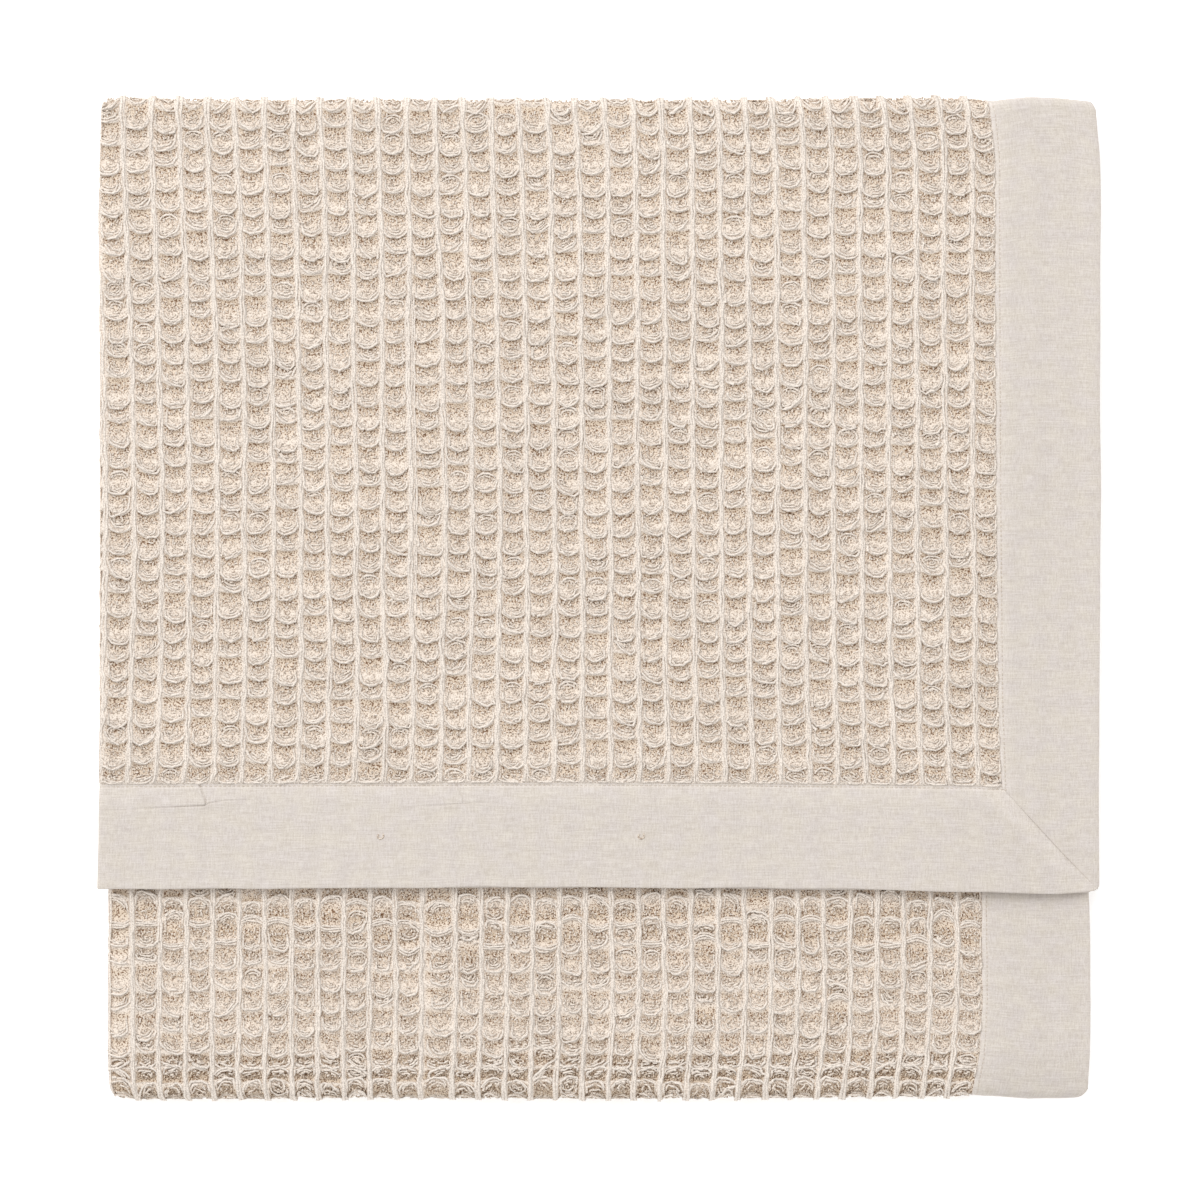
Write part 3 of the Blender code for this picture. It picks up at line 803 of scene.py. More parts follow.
def ground_mesh(weave):
    """The closed sheet of waffle cloth: its right side in relief, and its inner side plain."""
    half = (*INNER_STOPS, CLOTH_SIDE)
    inner_at = np.array([*(-stop for stop in reversed(half)), 0, *half])
    places, tones, faces, lines = [], [], [], []
    count = 0
    for row, level, half_a, half_b in ground_stations(weave):
        across, along, proud, height, nominal = ground_line(weave, row, level, half_a, half_b)
        middle = np.interp(inner_at, nominal, along)
        back = np.full_like(inner_at, RELIEF_BACK) * flattening(inner_at, middle)
        outer = np.arange(count, count + len(across))
        inner = np.arange(count + len(across), count + len(across) + len(inner_at))
        count = inner[-1] + 1
        places += [(across, along, proud), (inner_at, middle, back)]
        tones += [ground_tone(across, along, height), np.zeros_like(inner_at)]
        lines.append((outer, nominal, inner))
    for (outer, at, inner), (next_outer, next_at, next_inner) in zip(lines, lines[1:]):
        faces += band(outer, at, next_outer, next_at)
        faces += [face[::-1] for face in band(inner, inner_at, next_inner, inner_at)]
        faces.append((outer[0], next_outer[0], next_inner[0], inner[0]))
        faces.append((outer[-1], inner[-1], next_inner[-1], next_outer[-1]))
    for (outer, at, inner), turn in ((lines[0], 1), (lines[-1], -1)):
        faces += [face[::-turn] for face in band(outer, at, inner, inner_at)]
    flat = [np.concatenate(values) for values in zip(*places)]
    mesh = made_mesh("waffle_cloth", folded(*flat), faces)
    point_values(mesh, tone=np.concatenate(tones))
    mesh.shade_smooth()
    return mesh


def new_tree(name, output, **inputs):
    """(Geometry Nodes tree, what it is given) with named inputs of the given kinds."""
    tree = bpy.data.node_groups.new(name, "GeometryNodeTree")
    for label, kind in inputs.items():
        tree.interface.new_socket(label, in_out="INPUT", socket_type="NodeSocket" + kind)
    tree.interface.new_socket(output, in_out="OUTPUT", socket_type="NodeSocketGeometry")
    return tree, add_node(tree, "NodeGroupInput").outputs


def finished_tree(tree, output, made, material):
    """Ends a tree: its instances are made real, shaded smooth and given their material."""
    real = add_node(tree, "GeometryNodeRealizeInstances", {"Geometry": made})
    smooth = add_node(tree, "GeometryNodeSetShadeSmooth", {"Geometry": real.outputs[0], "Shade Smooth": True})
    links = {"Geometry": smooth.outputs[0], "Material": material}
    dressed = add_node(tree, "GeometryNodeSetMaterial", links)
    add_node(tree, "NodeGroupOutput", {output: dressed.outputs[0]})
    return tree


def yarn_tree():
    """Geometry Nodes that make tubes along polylines, with one side turned to the outside."""
    tree, given = new_tree("Yarn Tubes", "Tubes", Polylines="Geometry", Sides="Int", Yarn="Material")
    kind = "GeometryNodeInputNamedAttribute"
    outward = add_node(tree, kind, {"Name": "outward"}, data_type="FLOAT_VECTOR").outputs[0]
    radius = add_node(tree, kind, {"Name": "yarn_radius"}, data_type="FLOAT").outputs[0]
    lines = add_node(tree, "GeometryNodeMeshToCurve", {"Mesh": given["Polylines"]})
    facing = {"Curve": lines.outputs[0], "Normal": outward}
    turned = add_node(tree, "GeometryNodeSetCurveNormal", facing, mode="FREE")
    ring = add_node(tree, "GeometryNodeCurvePrimitiveCircle", {"Resolution": given["Sides"], "Radius": 1.0})
    # The profile's broad side faces out, so that a tube of three sides still looks round.
    half_turn = (0, 0, math.pi)
    broad = add_node(tree, "GeometryNodeTransform", {"Geometry": ring.outputs[0], "Rotation": half_turn})
    tube = add_node(
        tree,
        "GeometryNodeCurveToMesh",
        {"Curve": turned.outputs[0], "Profile Curve": broad.outputs[0], "Scale": radius, "Fill Caps": True},
    )
    return finished_tree(tree, "Tubes", tube.outputs[0], given["Yarn"])


def through_nodes(name, mesh, tree, material, **inputs):
    """A plain mesh object: what a Geometry Nodes tree makes of the given mesh."""
    start = bpy.data.objects.new(name, mesh)
    bpy.context.scene.collection.objects.link(start)
    modifier = start.modifiers.new(name, "NODES")
    modifier.node_group = tree
    sockets = {item.name: item.identifier for item in tree.interface.items_tree if item.in_out == "INPUT"}
    for label, value in inputs.items():
        modifier[sockets[label]] = value
    evaluated = start.evaluated_get(bpy.context.evaluated_depsgraph_get())
    result = bpy.data.meshes.new_from_object(evaluated)
    start.modifiers.clear()
    bpy.data.objects.remove(start)
    result.name = name
    result.materials.clear()
    return new_object(name, result, material)


# Yarns keep this far off the cloth's ends, and come no further than this from its crease.
YARN_CLEAR, YARN_SIDE = 0.7 * MM, SEAM_ACROSS - 0.9 * MM
OUTWARD_STEP = 0.5 * MM  # between the two places that show which way is outward


class Yarns:
    """Yarn paths, gathered from the flat cloth before they are folded and made tubes."""

    def __init__(self):
        self.places, self.outward, self.radii, self.tones, self.edges = [], [], [], [], []
        self.count = 0

    def add(self, across, along, proud, radius, tone, shown=None):
        """Adds one path for each row of the arrays. shown says which of its parts show."""
        across, along, proud, radius, tone = np.broadcast_arrays(across, along, proud, radius, tone)
        if not across.size:
            return
        ids = self.count + np.arange(across.size).reshape(across.shape)
        self.count += across.size
        along = np.clip(along, CLOTH_START + YARN_CLEAR, CLOTH_END - YARN_CLEAR)
        across = np.clip(across, -YARN_SIDE, YARN_SIDE)
        proud = proud * flattening(across, along)
        places = folded(across, along, proud).reshape(-1, 3)
        outward = folded(across, along, proud + OUTWARD_STEP).reshape(-1, 3) - places
        places[:, 2] = np.maximum(places[:, 2], radius.ravel())
        self.places.append(places)
        self.outward.append(outward)
        self.radii.append(radius.ravel())
        self.tones.append(tone.ravel())
        edges = np.stack([ids[:, :-1].ravel(), ids[:, 1:].ravel()], 1)
        self.edges.append(edges if shown is None else edges[shown.ravel()])

    def lay(self, across, along, proud, radius, tone):
        """Adds one path that lies on a binding."""
        places = folded(across, along, proud, bound=True)
        self.places.append(places)
        self.outward.append(folded(across, along, proud + OUTWARD_STEP, bound=True) - places)
        self.radii.append(radius)
        self.tones.append(np.full_like(radius, tone))
        self.edges.append(path_edges(self.count, len(across)))
        self.count += len(across)

    def made(self, name, material, sides=3):
        """The piece: all the paths as tubes. Three sides are enough at this thickness."""
        mesh = made_mesh(name, np.concatenate(self.places), edges=np.concatenate(self.edges).tolist())
        point_values(mesh, yarn_radius=np.concatenate(self.radii), tone=np.concatenate(self.tones))
        outward = mesh.attributes.new("outward", "FLOAT_VECTOR", "POINT")
        outward.data.foreach_set("vector", np.concatenate(self.outward).astype(np.float32).ravel())
        tree = bpy.data.node_groups.get("Yarn Tubes") or yarn_tree()
        return through_nodes(name, mesh, tree, material, Sides=sides, Yarn=material)


# A patch of cells: its lengths along the cloth, its first and last ridge, how many floats a cell
# has, how many points fewer than usual each has, and how many grains of yarn lie in a pit.
Patch = namedtuple("Patch", "start end first last floats fewer grains")
TOP_PATCHES = (
    Patch(CLOTH_START, 0.30, 0, 31, 5, 0, 18),
    Patch(0.30, ROUND_BACK, 0, 31, 5, 0, 18),
)
STRIP_PATCH = Patch(STRIP_START, STRIP_TURN, -33, -2, 5, 0, 20)
UNDER_PATCH = Patch(STRIP_TURN, CLOTH_END, -33, -2, 2, 2, 0)
CREASE_PATCHES = (
    Patch(CLOTH_START, ROUND_BACK, -1, -1, 3, 1, 0),
    Patch(ROUND_BACK, CLOTH_END, -1, 0, 3, 1, 0),
)


def patch_cells(weave, patch):
    """(rows, ridge numbers) of the cells in a patch of the cloth."""
    rows, numbers = np.meshgrid(np.arange(weave.rows), np.arange(patch.first, patch.last + 1))
    rows, numbers = rows.ravel(), numbers.ravel()
    middle = weave.rim(rows, numbers) + weave.length / 2
    across = weave.across(numbers, 0.5, middle)
    keep = (middle > patch.start) & (middle <= patch.end) & (np.abs(across) < SEAM_ACROSS + 4 * MM)
    return rows[keep], numbers[keep]


def hanging_cells(weave, rows, numbers):
    """(rim, down, height, half width, centre, row) of cells, from the rim that hangs."""
    lean = weave.cell_lean(rows, numbers)
    own = np.where(lean > 0, rows + 1, rows)
    rim = weave.rim(own, numbers)
    tall = np.abs(weave.rim(np.where(lean > 0, rows, rows + 1), numbers) - rim)
    middle = weave.rim(rows, numbers) + weave.length / 2
    wide, centre = weave.open_part(numbers, middle)
    return rim, np.where(lean > 0, 1.0, -1.0), tall, wide, centre, own


def bowl(points, arms):
    """(sideways, fall, arms) of a U's points: a round bottom, and with or without two arms."""
    turn = np.linspace(0, math.pi, points)
    ends = [1.0] * arms
    sideways = np.concatenate([ends, np.cos(turn), [-end for end in ends]])
    fall = np.concatenate([[0] * arms, np.sin(turn), [0] * arms])
    at_arms = np.concatenate([ends, np.zeros(points), ends])
    return sideways[None, :], fall[None, :], at_arms[None, :]


Float = namedtuple("Float", "points arms top end size")  # top and end in mm
FLOATS = (  # from the lowest float of a bundle to the highest
    Float(9, 1, 1.58, 1.35, 1.04),
    Float(7, 0, 1.52, 0.90, 0.92),
    Float(6, 0, 1.34, 0.65, 0.88),
    Float(5, 0, 1.12, 0.42, 0.84),
    Float(4, 0, 0.92, 0.25, 0.80),
)
FLOAT_PITCH = 1.52 * MM
FLOAT_CLEAR = 2.3 * MM  # from a ridge to the ends of the lowest float
FLOAT_NEST = 0.92  # how much narrower the next one is on each side, as a share of the pitch
FLOAT_ROUND = 0.70  # how deep its round part is, as a share of its half width
FLOAT_ARM, ARM_SPREAD, ARM_LEAST = 0.44, 0.9 * MM, 1.5 * MM  # how far up its cell the arms reach
ARM_DROP = 1.1 * MM  # how much lower their ends are
FLOAT_TILT, FLOAT_ASIDE, FLOAT_SLACK = 0.20, 0.9 * MM, 0.55 * MM  # how much bundles differ
WIDTH_SPREAD, HEIGHT_SPREAD = 0.11, 0.16 * MM
FLOAT_STRAY, ARCH_STRAY, RIM_STRAY = 0.40 * MM, 0.22 * MM, 0.3 * MM  # of each point of a yarn
YARN_SPREAD, YARN_THINNEST, YARN_THICKEST = 0.22, 0.5, 1.5  # of its thickness
CROSSED = 0.09  # the share of a float that other yarns hide, and how much more of the next one
AT_FOLDS = 0.7 * FOLD_SINK  # how much lower the floats lie round a fold
ARCH_PITCH, ARCH_CLEAR, ARCH_NEST = 1.9 * MM, 3.0 * MM, 1.7 * MM
ARCH_CROWN, ARCH_ROUND = 0.70, 0.65  # how far up its cell an arch stands, and how round it is
RIM_PITCH, RIM_HEIGHT = 1.45 * MM, 1.5 * MM
GRAINS_A_ROW, GRAIN_TOP, GRAIN_ROW_PITCH = 6, 0.72, 0.17  # as shares of a cell's length
GRAIN_CLEAR, GRAIN_SPAN = 1.8 * MM, 0.8  # what part of the pit's width they lie in
UPRIGHT_SHARE = 0.75  # of the grains that run along the cloth


def add_floats(yarns, weave, patch, radius, rng):
    """The floats of each cell: nested U's that hang from ridge to ridge over its rim."""
    rows, numbers = patch_cells(weave, patch)
    rim, down, tall, wide, centre, own = hanging_cells(weave, rows, numbers)
    count = len(rows)
    reach = down * weave.sag(own, numbers, 0.5)
    hang = np.clip(down * weave.hang(own, numbers), 0.25, 1)
    tilt = rng.normal(0, FLOAT_TILT, (count, 1))
    aside = rng.normal(0, FLOAT_ASIDE, (count, 1))
    slack = rng.normal(0, FLOAT_SLACK, (count, 1))
    for number, kind in enumerate(FLOATS[: patch.floats]):
        sideways, fall, arms = bowl(max(kind.points - patch.fewer, 4), kind.arms)
        half = (wide - FLOAT_CLEAR - FLOAT_NEST * FLOAT_PITCH * number)[:, None]
        half = half * (1 + rng.normal(0, WIDTH_SPREAD, (count, 1)))
        round_part = half * FLOAT_ROUND * hang[:, None] ** 0.5
        arm = (FLOAT_ARM * tall)[:, None] + rng.normal(0, ARM_SPREAD, (count, 1))
        bottom = (reach - FLOAT_PITCH * number)[:, None] + slack * (number > 0)
        aside_here = sideways * half + aside * fall
        across = centre[:, None] + aside_here
        up_arms = np.maximum(arm + bottom - round_part, ARM_LEAST)
        level = bottom - round_part * (1 - fall) - arms * up_arms
        along = rim[:, None] + down[:, None] * level + tilt * aside_here
        top, end = kind.top * MM, kind.end * MM
        proud = end + (top - end) * fall**1.2 - ARM_DROP * arms
        proud = proud + rng.normal(0, HEIGHT_SPREAD, across.shape) - AT_FOLDS * round_fold(along)
        across = strayed(across, FLOAT_STRAY, rng)
        along = strayed(along, FLOAT_STRAY, rng)
        # Painted shade: the higher a yarn stands, the paler it is painted, and each next float, lying lower,
        # is painted a little browner.
        tone = 0.5 + 0.5 * np.clip((proud + 0.4 * MM) / (1.7 * MM), 0, 1) - 0.06 * number
        uneven = 1 + rng.normal(0, YARN_SPREAD, across.shape)
        sized = radius * kind.size * np.clip(uneven, YARN_THINNEST, YARN_THICKEST)
        # Parts of the floats are left out, as if other yarns crossed over them.
        shown = rng.random((count, across.shape[1] - 1)) > CROSSED + CROSSED * number
        yarns.add(across, along, proud, sized, tone, shown)


def add_bare_rims(yarns, weave, patch, radius, rng):
    """Three floats over each rim that the cells on both of its sides hang away from."""
    rows, numbers = patch_cells(weave, patch)
    bare = (rows > 0) & (weave.cell_lean(rows, numbers) > 0) & (weave.cell_lean(rows - 1, numbers) <= 0)
    rows, numbers = rows[bare], numbers[bare]
    share = np.linspace(0.1, 0.9, 5)[None, :]
    row, number = np.repeat(rows[:, None], 5, 1), np.repeat(numbers[:, None], 5, 1)
    rim = weave.rim(row, number) + weave.sag(row, number, share)
    for strand in (-1, 0, 1):
        along = strayed(rim + strand * RIM_PITCH, RIM_STRAY, rng)
        across = strayed(weave.across(number, share, rim), RIM_STRAY, rng)
        proud = RIM_HEIGHT - 0.35 * MM * abs(strand) + rng.normal(0, 0.15 * MM, rim.shape)
        # Painted shade: the two outer strands lie lower and are painted a little darker.
        yarns.add(across, along, proud, radius, 1.0 - 0.1 * abs(strand))


def add_arches(yarns, weave, patch, radius, rng, share):
    """The arched floats at the upper end of some cells, which close them to ovals."""
    rows, numbers = patch_cells(weave, patch)
    some = weave.arched[rows, numbers + weave.COLUMNS] > 1 - share
    rows, numbers = rows[some], numbers[some]
    if not len(rows):
        return
    rim, down, tall, wide, centre, _ = hanging_cells(weave, rows, numbers)
    # The first arch is the outer and higher one.
    for arc in range(2):
        sideways, fall, _ = bowl(6 - arc, 0)
        half = (wide - ARCH_CLEAR - ARCH_NEST * arc)[:, None]
        crown = (ARCH_CROWN * tall)[:, None] - ARCH_PITCH * arc
        level = crown - half * ARCH_ROUND * (1 - fall)
        across = centre[:, None] + sideways * half
        along = rim[:, None] - down[:, None] * level
        proud = (0.35 - 0.28 * arc) * MM + 0.35 * MM * fall
        proud = proud + rng.normal(0, 0.14 * MM, across.shape) - AT_FOLDS * round_fold(along)
        across = strayed(across, ARCH_STRAY, rng)
        along = strayed(along, ARCH_STRAY, rng)
        # Painted shade: each arch is painted darker towards its low ends, and the inner one darker still.
        tone = 0.8 + 0.2 * fall - 0.1 * arc
        sized = radius * np.clip(0.9 + rng.normal(0, 0.2, across.shape), 0.5, 1.5)
        yarns.add(across, along, proud, sized, tone)


def add_grains(yarns, weave, patch, radius, rng):
    """The short bits of yarn that show between the floats in the pit of each cell."""
    rows, numbers = patch_cells(weave, patch)
    place = np.tile(np.arange(patch.grains), len(rows))
    rows, numbers = np.repeat(rows, patch.grains), np.repeat(numbers, patch.grains)
    rim, down, tall, wide, centre, _ = hanging_cells(weave, rows, numbers)
    count = len(rows)
    # The grains lie in rows across the pit, from its far end on, each off by chance.
    level = (GRAIN_TOP - GRAIN_ROW_PITCH * (place // GRAINS_A_ROW) + rng.normal(0, 0.045, count)) * tall
    along = rim - down * level
    middle = (GRAINS_A_ROW - 1) / 2
    sideways = (place % GRAINS_A_ROW - middle) / middle + rng.normal(0, 0.13, count)
    across = centre + np.clip(sideways, -1.05, 1.05) * GRAIN_SPAN * (wide - GRAIN_CLEAR)
    # Most of them run along the cloth, and the rest across it.
    upright = rng.random(count) < UPRIGHT_SHARE
    heading = np.where(upright, math.pi / 2, 0) + rng.normal(0, 0.35, count)
    half = rng.uniform(0.45, 1.0, count) * MM
    # They lie on the ground, which is deeper in the last rows above the front fold.
    height = cell_height(np.maximum(level / tall, 0), -np.ones(count))
    proud = (RELIEF_LOW + (RELIEF_HIGH - RELIEF_LOW) * height) + rng.uniform(0.15, 0.60, count) * MM
    ends = np.array([-1.0, 1.0])
    across = across[:, None] + half[:, None] * np.cos(heading)[:, None] * ends
    along = along[:, None] + half[:, None] * np.sin(heading)[:, None] * ends
    proud = proud[:, None] - 0.8 * MM * by_front_fold(along) - FOLD_SINK * round_fold(along)
    # Their tone differs by chance, and shade is painted on them in the last rows above the front fold.
    tone = np.repeat(rng.uniform(0.5, 1.0, count)[:, None], 2, 1) - 0.5 * by_front_fold(along)
    yarns.add(across, along, proud, 0.75 * radius, tone)


def add_welt(yarns, weave, rows, number, radius, rng):
    """The low welt that runs up the widened cells at the crease."""
    along = np.concatenate([weave.rim(rows, number) + part * weave.length / 3 for part in range(3)])
    along.sort()
    wide, centre = weave.open_part(number, along)
    side = np.where(number < 0, -1, 1)
    # The wider a cell is than usual, the higher its welt stands.
    widened = (weave.ridge(number + 1, along) - weave.ridge(number, along)) / weave.width
    raised = np.clip(widened - 1.12, 0, 0.12)
    for strand in (-0.7, 0.7):
        across = centre - side * wide + strand * MM + rng.normal(0, 0.2 * MM, len(along))
        proud = (10 * raised - 0.2) * MM + rng.normal(0, 0.1 * MM, len(along))
        yarns.add(across[None], along[None], proud[None], radius, 1.0)


def add_edge_welt(yarns, weave, start, end, radius, rng):
    """The two slack strands that run along the crease at the left."""
    along = np.arange(start, end, weave.length / 4)
    for strand in (-1.5, 0.2):
        # Both follow the same slow wave, so that they run side by side.
        across = (strand - 0.4) * MM + 0.4 * MM * gentle_noise(along, along, 0.02, 77)
        proud = 1.15 * MM + rng.normal(0, 0.12 * MM, len(along))
        yarns.add(across[None], along[None], proud[None], 1.15 * radius, 0.98)


RIDGES_A, RIDGES_B, CREASE_RIDGES = range(1, 33), range(-33, -1), (-1, 0)


def add_ridges(yarns, weave, numbers, start, end, radius, rng, steps):
    """The two long floats side by side on each ridge, with some steps to a cell."""
    along = np.arange(start, end, weave.length / steps)
    for number in numbers:
        spot = weave.ridge(number, along)
        if np.abs(spot).max() >= SEAM_ACROSS - 1.2 * MM:
            continue
        for strand in (-1.0, 1.0):
            # The two wander each for itself, wind about each other, and part round a fold.
            wander = gentle_noise(along, np.full_like(along, strand), 0.012, 900 + number)
            winding = gentle_noise(along, np.zeros_like(along), 0.016, 960 + number)
            apart = 0.54 - 0.24 * winding + 0.5 * round_fold(along)
            across = spot + strand * apart * MM + wander * 0.26 * MM
            across = across + rng.normal(0, 0.22 * MM, len(along))
            proud = (1.55 + 0.25 * strand * winding) * MM + rng.normal(0, 0.10 * MM, len(along))
            proud = proud + FOLD_SWELL * round_fold(along)
            sized = 1.2 * radius * np.clip(1 + rng.normal(0, 0.18, len(along)), 0.7, 1.4)
            sized = sized * (1 + 0.25 * round_fold(along))
            yarns.add(across[None], along[None], proud[None], sized[None], 1.0)


def register_piece(piece, slot_name, *nodes):
    """Says what the piece rides on, and which solids it stands in for. Its material slot is not used."""
    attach(piece, "root")
    if nodes:
        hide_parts(*nodes)


# The bindings. A strip's section goes round it, from its edge to its seam and back.
Bend = namedtuple("Bend", "inside proud")  # both in mm; proud is from the middle of the strip
STRIP_SECTION = (
    Bend(0.00, 0.00),
    Bend(0.12, 0.48),
    Bend(0.45, 0.78),
    Bend(1.1, 0.90),
    *(Bend(at, 0.90) for at in (3.5, 8, 13, 19, 25, 31, 37, 42, 46, 49, 51, 52.3, 53.1)),
    *(Bend(at, 0.90) for at in (53.6, 54, 54.4, 54.9, 55.7, 57.5, 60, 62.5)),
    *(Bend(at, 0.92) for at in (64.2, 64.8, 65.2, 65.6, 66.0, 66.4, 66.8, 67.2)),
    Bend(67.8, 1.02),
    Bend(68.4, 0.92),
    Bend(68.85, 0.55),
    Bend(68.8, 0.20),
    Bend(67.7, -0.30),
    Bend(67.2, -0.80),
    Bend(34, -0.80),
    Bend(1.0, -0.80),
    Bend(0.3, -0.60),
)
OUTER_FACE = 0.3 * MM  # what stands prouder than this is on a strip's outer face
SIDE_STITCHES, HEM_STITCHES = 65.4 * MM, 66.6 * MM  # how far in the stitched lines run
SEAM_SLOPE, SEAM_REACH = 0.5 * MM, 6 * MM  # how far a strip slopes down to them, and over what
STITCH_DIP, LIP_PUCKER = 0.15 * MM, 0.22 * MM
# How much paler a strip is painted along its seam, on its lip and over a mitre's turned edges,
# as painted light where they catch it, and how much darker it is painted at the front fold, as
# painted shade where it curves down away from the light.
PAINTED_SEAM_LIGHT, PAINTED_LIP_LIGHT, PAINTED_EDGE_LIGHT, PAINTED_FOLD_DARKENING = 0.07, 0.07, 0.045, 0.065
SHADED_SEAM, SHADED_LIP = 66 * MM, 64.5 * MM  # how far in the first two of them are
TURNED_EDGES = 19 * MM  # how far from the mitre the turned edges under it reach
MITRE_GAP, MITRE_DIP = 0.03 * MM, 0.20 * MM
MITRE_WELT = 1.3 * MM  # how much higher the hem lies on the turned edges
# Where a strip's rings of vertices lie: in mm from the mitre, or, where that is less, as a share
# of the way to where they run straight across.
MitreRing = namedtuple("MitreRing", "away share")
MITRE_RINGS = (
    *(MitreRing(0, 0), MitreRing(0.9, 0.03), MitreRing(2.0, 0.07), MitreRing(3.5, 0.12), MitreRing(6, 0.2)),
    *(MitreRing(9, 0.3), MitreRing(13, 0.4), MitreRing(14.5, 0.46), MitreRing(16, 0.52)),
    *(MitreRing(17.5, 0.58), MitreRing(19.2, 0.65), MitreRing(28, 0.74), MitreRing(40, 0.84)),
    *(MitreRing(56, 0.92), MitreRing(200, 1)),
)
PAST_MITRE = 0.008  # where the rings run straight across, measured from the mitre's inner end
SIDE_STEP, HEM_STEP, FINE_STEP = 0.007, 0.008, 0.0016  # from ring to ring further on
# Raised wrinkles, each from one place to another.
Wrinkle = namedtuple("Wrinkle", "across along to_across to_along height width")
WRINKLES = (
    Wrinkle(0.010, 0.0485, 0.069, 0.0550, 0.30 * MM, 2.4 * MM),
    Wrinkle(0.069, 0.0550, 0.092, 0.0570, 0.25 * MM, 2.0 * MM),
    Wrinkle(0.0645, 0.0670, 0.0690, 0.0560, 0.60 * MM, 1.2 * MM),
    Wrinkle(0.6440, 0.0270, 0.6505, 0.0040, 0.45 * MM, 1.3 * MM),
    Wrinkle(0.5950, 0.0560, 0.6180, 0.0370, 0.30 * MM, 2.0 * MM),
)
# The creases in the front hem are sharp, so lines of its vertices follow them.
CREASE_LINE = 54 * MM
SHORT_CREASES = ((68.5 * MM, 1.0), (234.5 * MM, 0.85))  # where each lies, and how deep a share
CreasePoint = namedtuple("CreasePoint", "across inside depth")  # depth as a share of the deepest
HEM_CREASE = (
    CreasePoint(0.004, 0.0505, 0.0),
    CreasePoint(0.020, 0.0518, 0.35),
    CreasePoint(0.045, 0.0530, 0.7),
    CreasePoint(0.068, 0.0541, 1.0),
    CreasePoint(0.071, 0.0556, 0.8),
    CreasePoint(0.083, 0.0572, 0.45),
    CreasePoint(0.125, 0.0580, 0.0),
    CreasePoint(0.207, 0.0530, 0.0),
    CreasePoint(0.221, 0.0535, 0.6),
    CreasePoint(0.2345, 0.0546, 0.8),
    CreasePoint(0.245, 0.0553, 0.3),
    CreasePoint(0.265, 0.0558, 0.0),
)
CREASE_DEPTH, CREASE_HALF_WIDTH = 0.95 * MM, 0.45 * MM
CREASE_PULL = 6 * MM  # how far from a crease the lines of vertices are drawn to it
# How a short crease runs, by the distance from the edge: how far aside, and how deep.
SHORT_RUN = ((0.050, 0.0560, BINDING_WIDTH), (0.0, 2.3 * MM, -2.7 * MM))
SHORT_DEPTH = ((0.053, 0.0560, 0.064, BINDING_WIDTH), (0.0, 1.0, 0.8, 0.5))
BESIDE_CREASE = (-5, -2.4, -1.2, -0.6, -0.3, 0, 0.3, 0.6, 1.2, 2.4, 5)  # rings of vertices, in mm
CLEAR_OF_CREASE = 5.6 * MM  # the other rings keep so far off


def wrinkled(across, along):
    """How far the strip's face is lifted by its wrinkles."""
    lifted = 0.14 * MM * gentle_noise(across, along, 0.024, 31)
    lifted += 0.05 * MM * gentle_noise(across, along, 0.009, 32)
    for item in WRINKLES:
        run = np.array([item.to_across - item.across, item.to_along - item.along])
        size = float(run @ run)
        off_across, off_along = across - item.across, along - item.along
        share = np.clip((off_across * run[0] + off_along * run[1]) / size, 0, 1)
        gap = np.hypot(off_across - share * run[0], off_along - share * run[1])
        lifted += item.height * np.exp(-((gap / item.width) ** 2))
    return lifted


def hem_crease(across, inside):
    """(how far to move the lines of vertices, how far they sink) where the hem is creased."""
    at = column(HEM_CREASE, "across")
    from_line = inside - CREASE_LINE
    near = np.exp(-((from_line / CREASE_PULL) ** 2))
    moved = (np.interp(across, at, column(HEM_CREASE, "inside")) - CREASE_LINE) * near
    share = np.exp(-((from_line / CREASE_HALF_WIDTH) ** 2))
    sunk = -CREASE_DEPTH * np.interp(across, at, column(HEM_CREASE, "depth")) * share
    shown = (across > 0) * eased((at[-1] - across) / 0.02)
    return moved * shown, sunk * (across > 0)


def short_creases(across, inside):
    """The same for the short creases, which run from the seam to the long one."""
    moved = sunk = 0
    for spot, share in SHORT_CREASES:
        near = np.exp(-(((across - spot) / CREASE_PULL) ** 2))
        moved = moved + np.interp(inside, *SHORT_RUN) * near
        depth = share * np.interp(inside, *SHORT_DEPTH)
        sunk = sunk - CREASE_DEPTH * depth * np.exp(-(((across - spot) / CREASE_HALF_WIDTH) ** 2))
    return moved, sunk


def strip_shade(across, along, inside):
    """The shade attribute of a strip, painted light and shade: above 0 where light is painted on,
    and below 0 where shade is painted on.
    """
    # Painted light along the seam, on the lip and over the turned edges, where they catch the light.
    stretched = np.exp(-np.clip(SHADED_SEAM - inside, 0, None) / SEAM_REACH)
    lip = eased((inside - SHADED_LIP) / (1.5 * MM))
    past_mitre = HALF_WIDTH - np.abs(across) - np.minimum(along, LENGTH - along)
    on_edges = (past_mitre > 0) * eased((TURNED_EDGES - past_mitre) / (4 * MM))
    # Painted shade where the strip curves down round the front fold, away from the light.
    fold_darkening = by_front_fold(along) * eased((BOTTOM_START + 0.03 - along) / 0.03)
    painted_light = PAINTED_SEAM_LIGHT * stretched + PAINTED_LIP_LIGHT * lip + PAINTED_EDGE_LIGHT * on_edges
    return painted_light - PAINTED_FOLD_DARKENING * fold_darkening


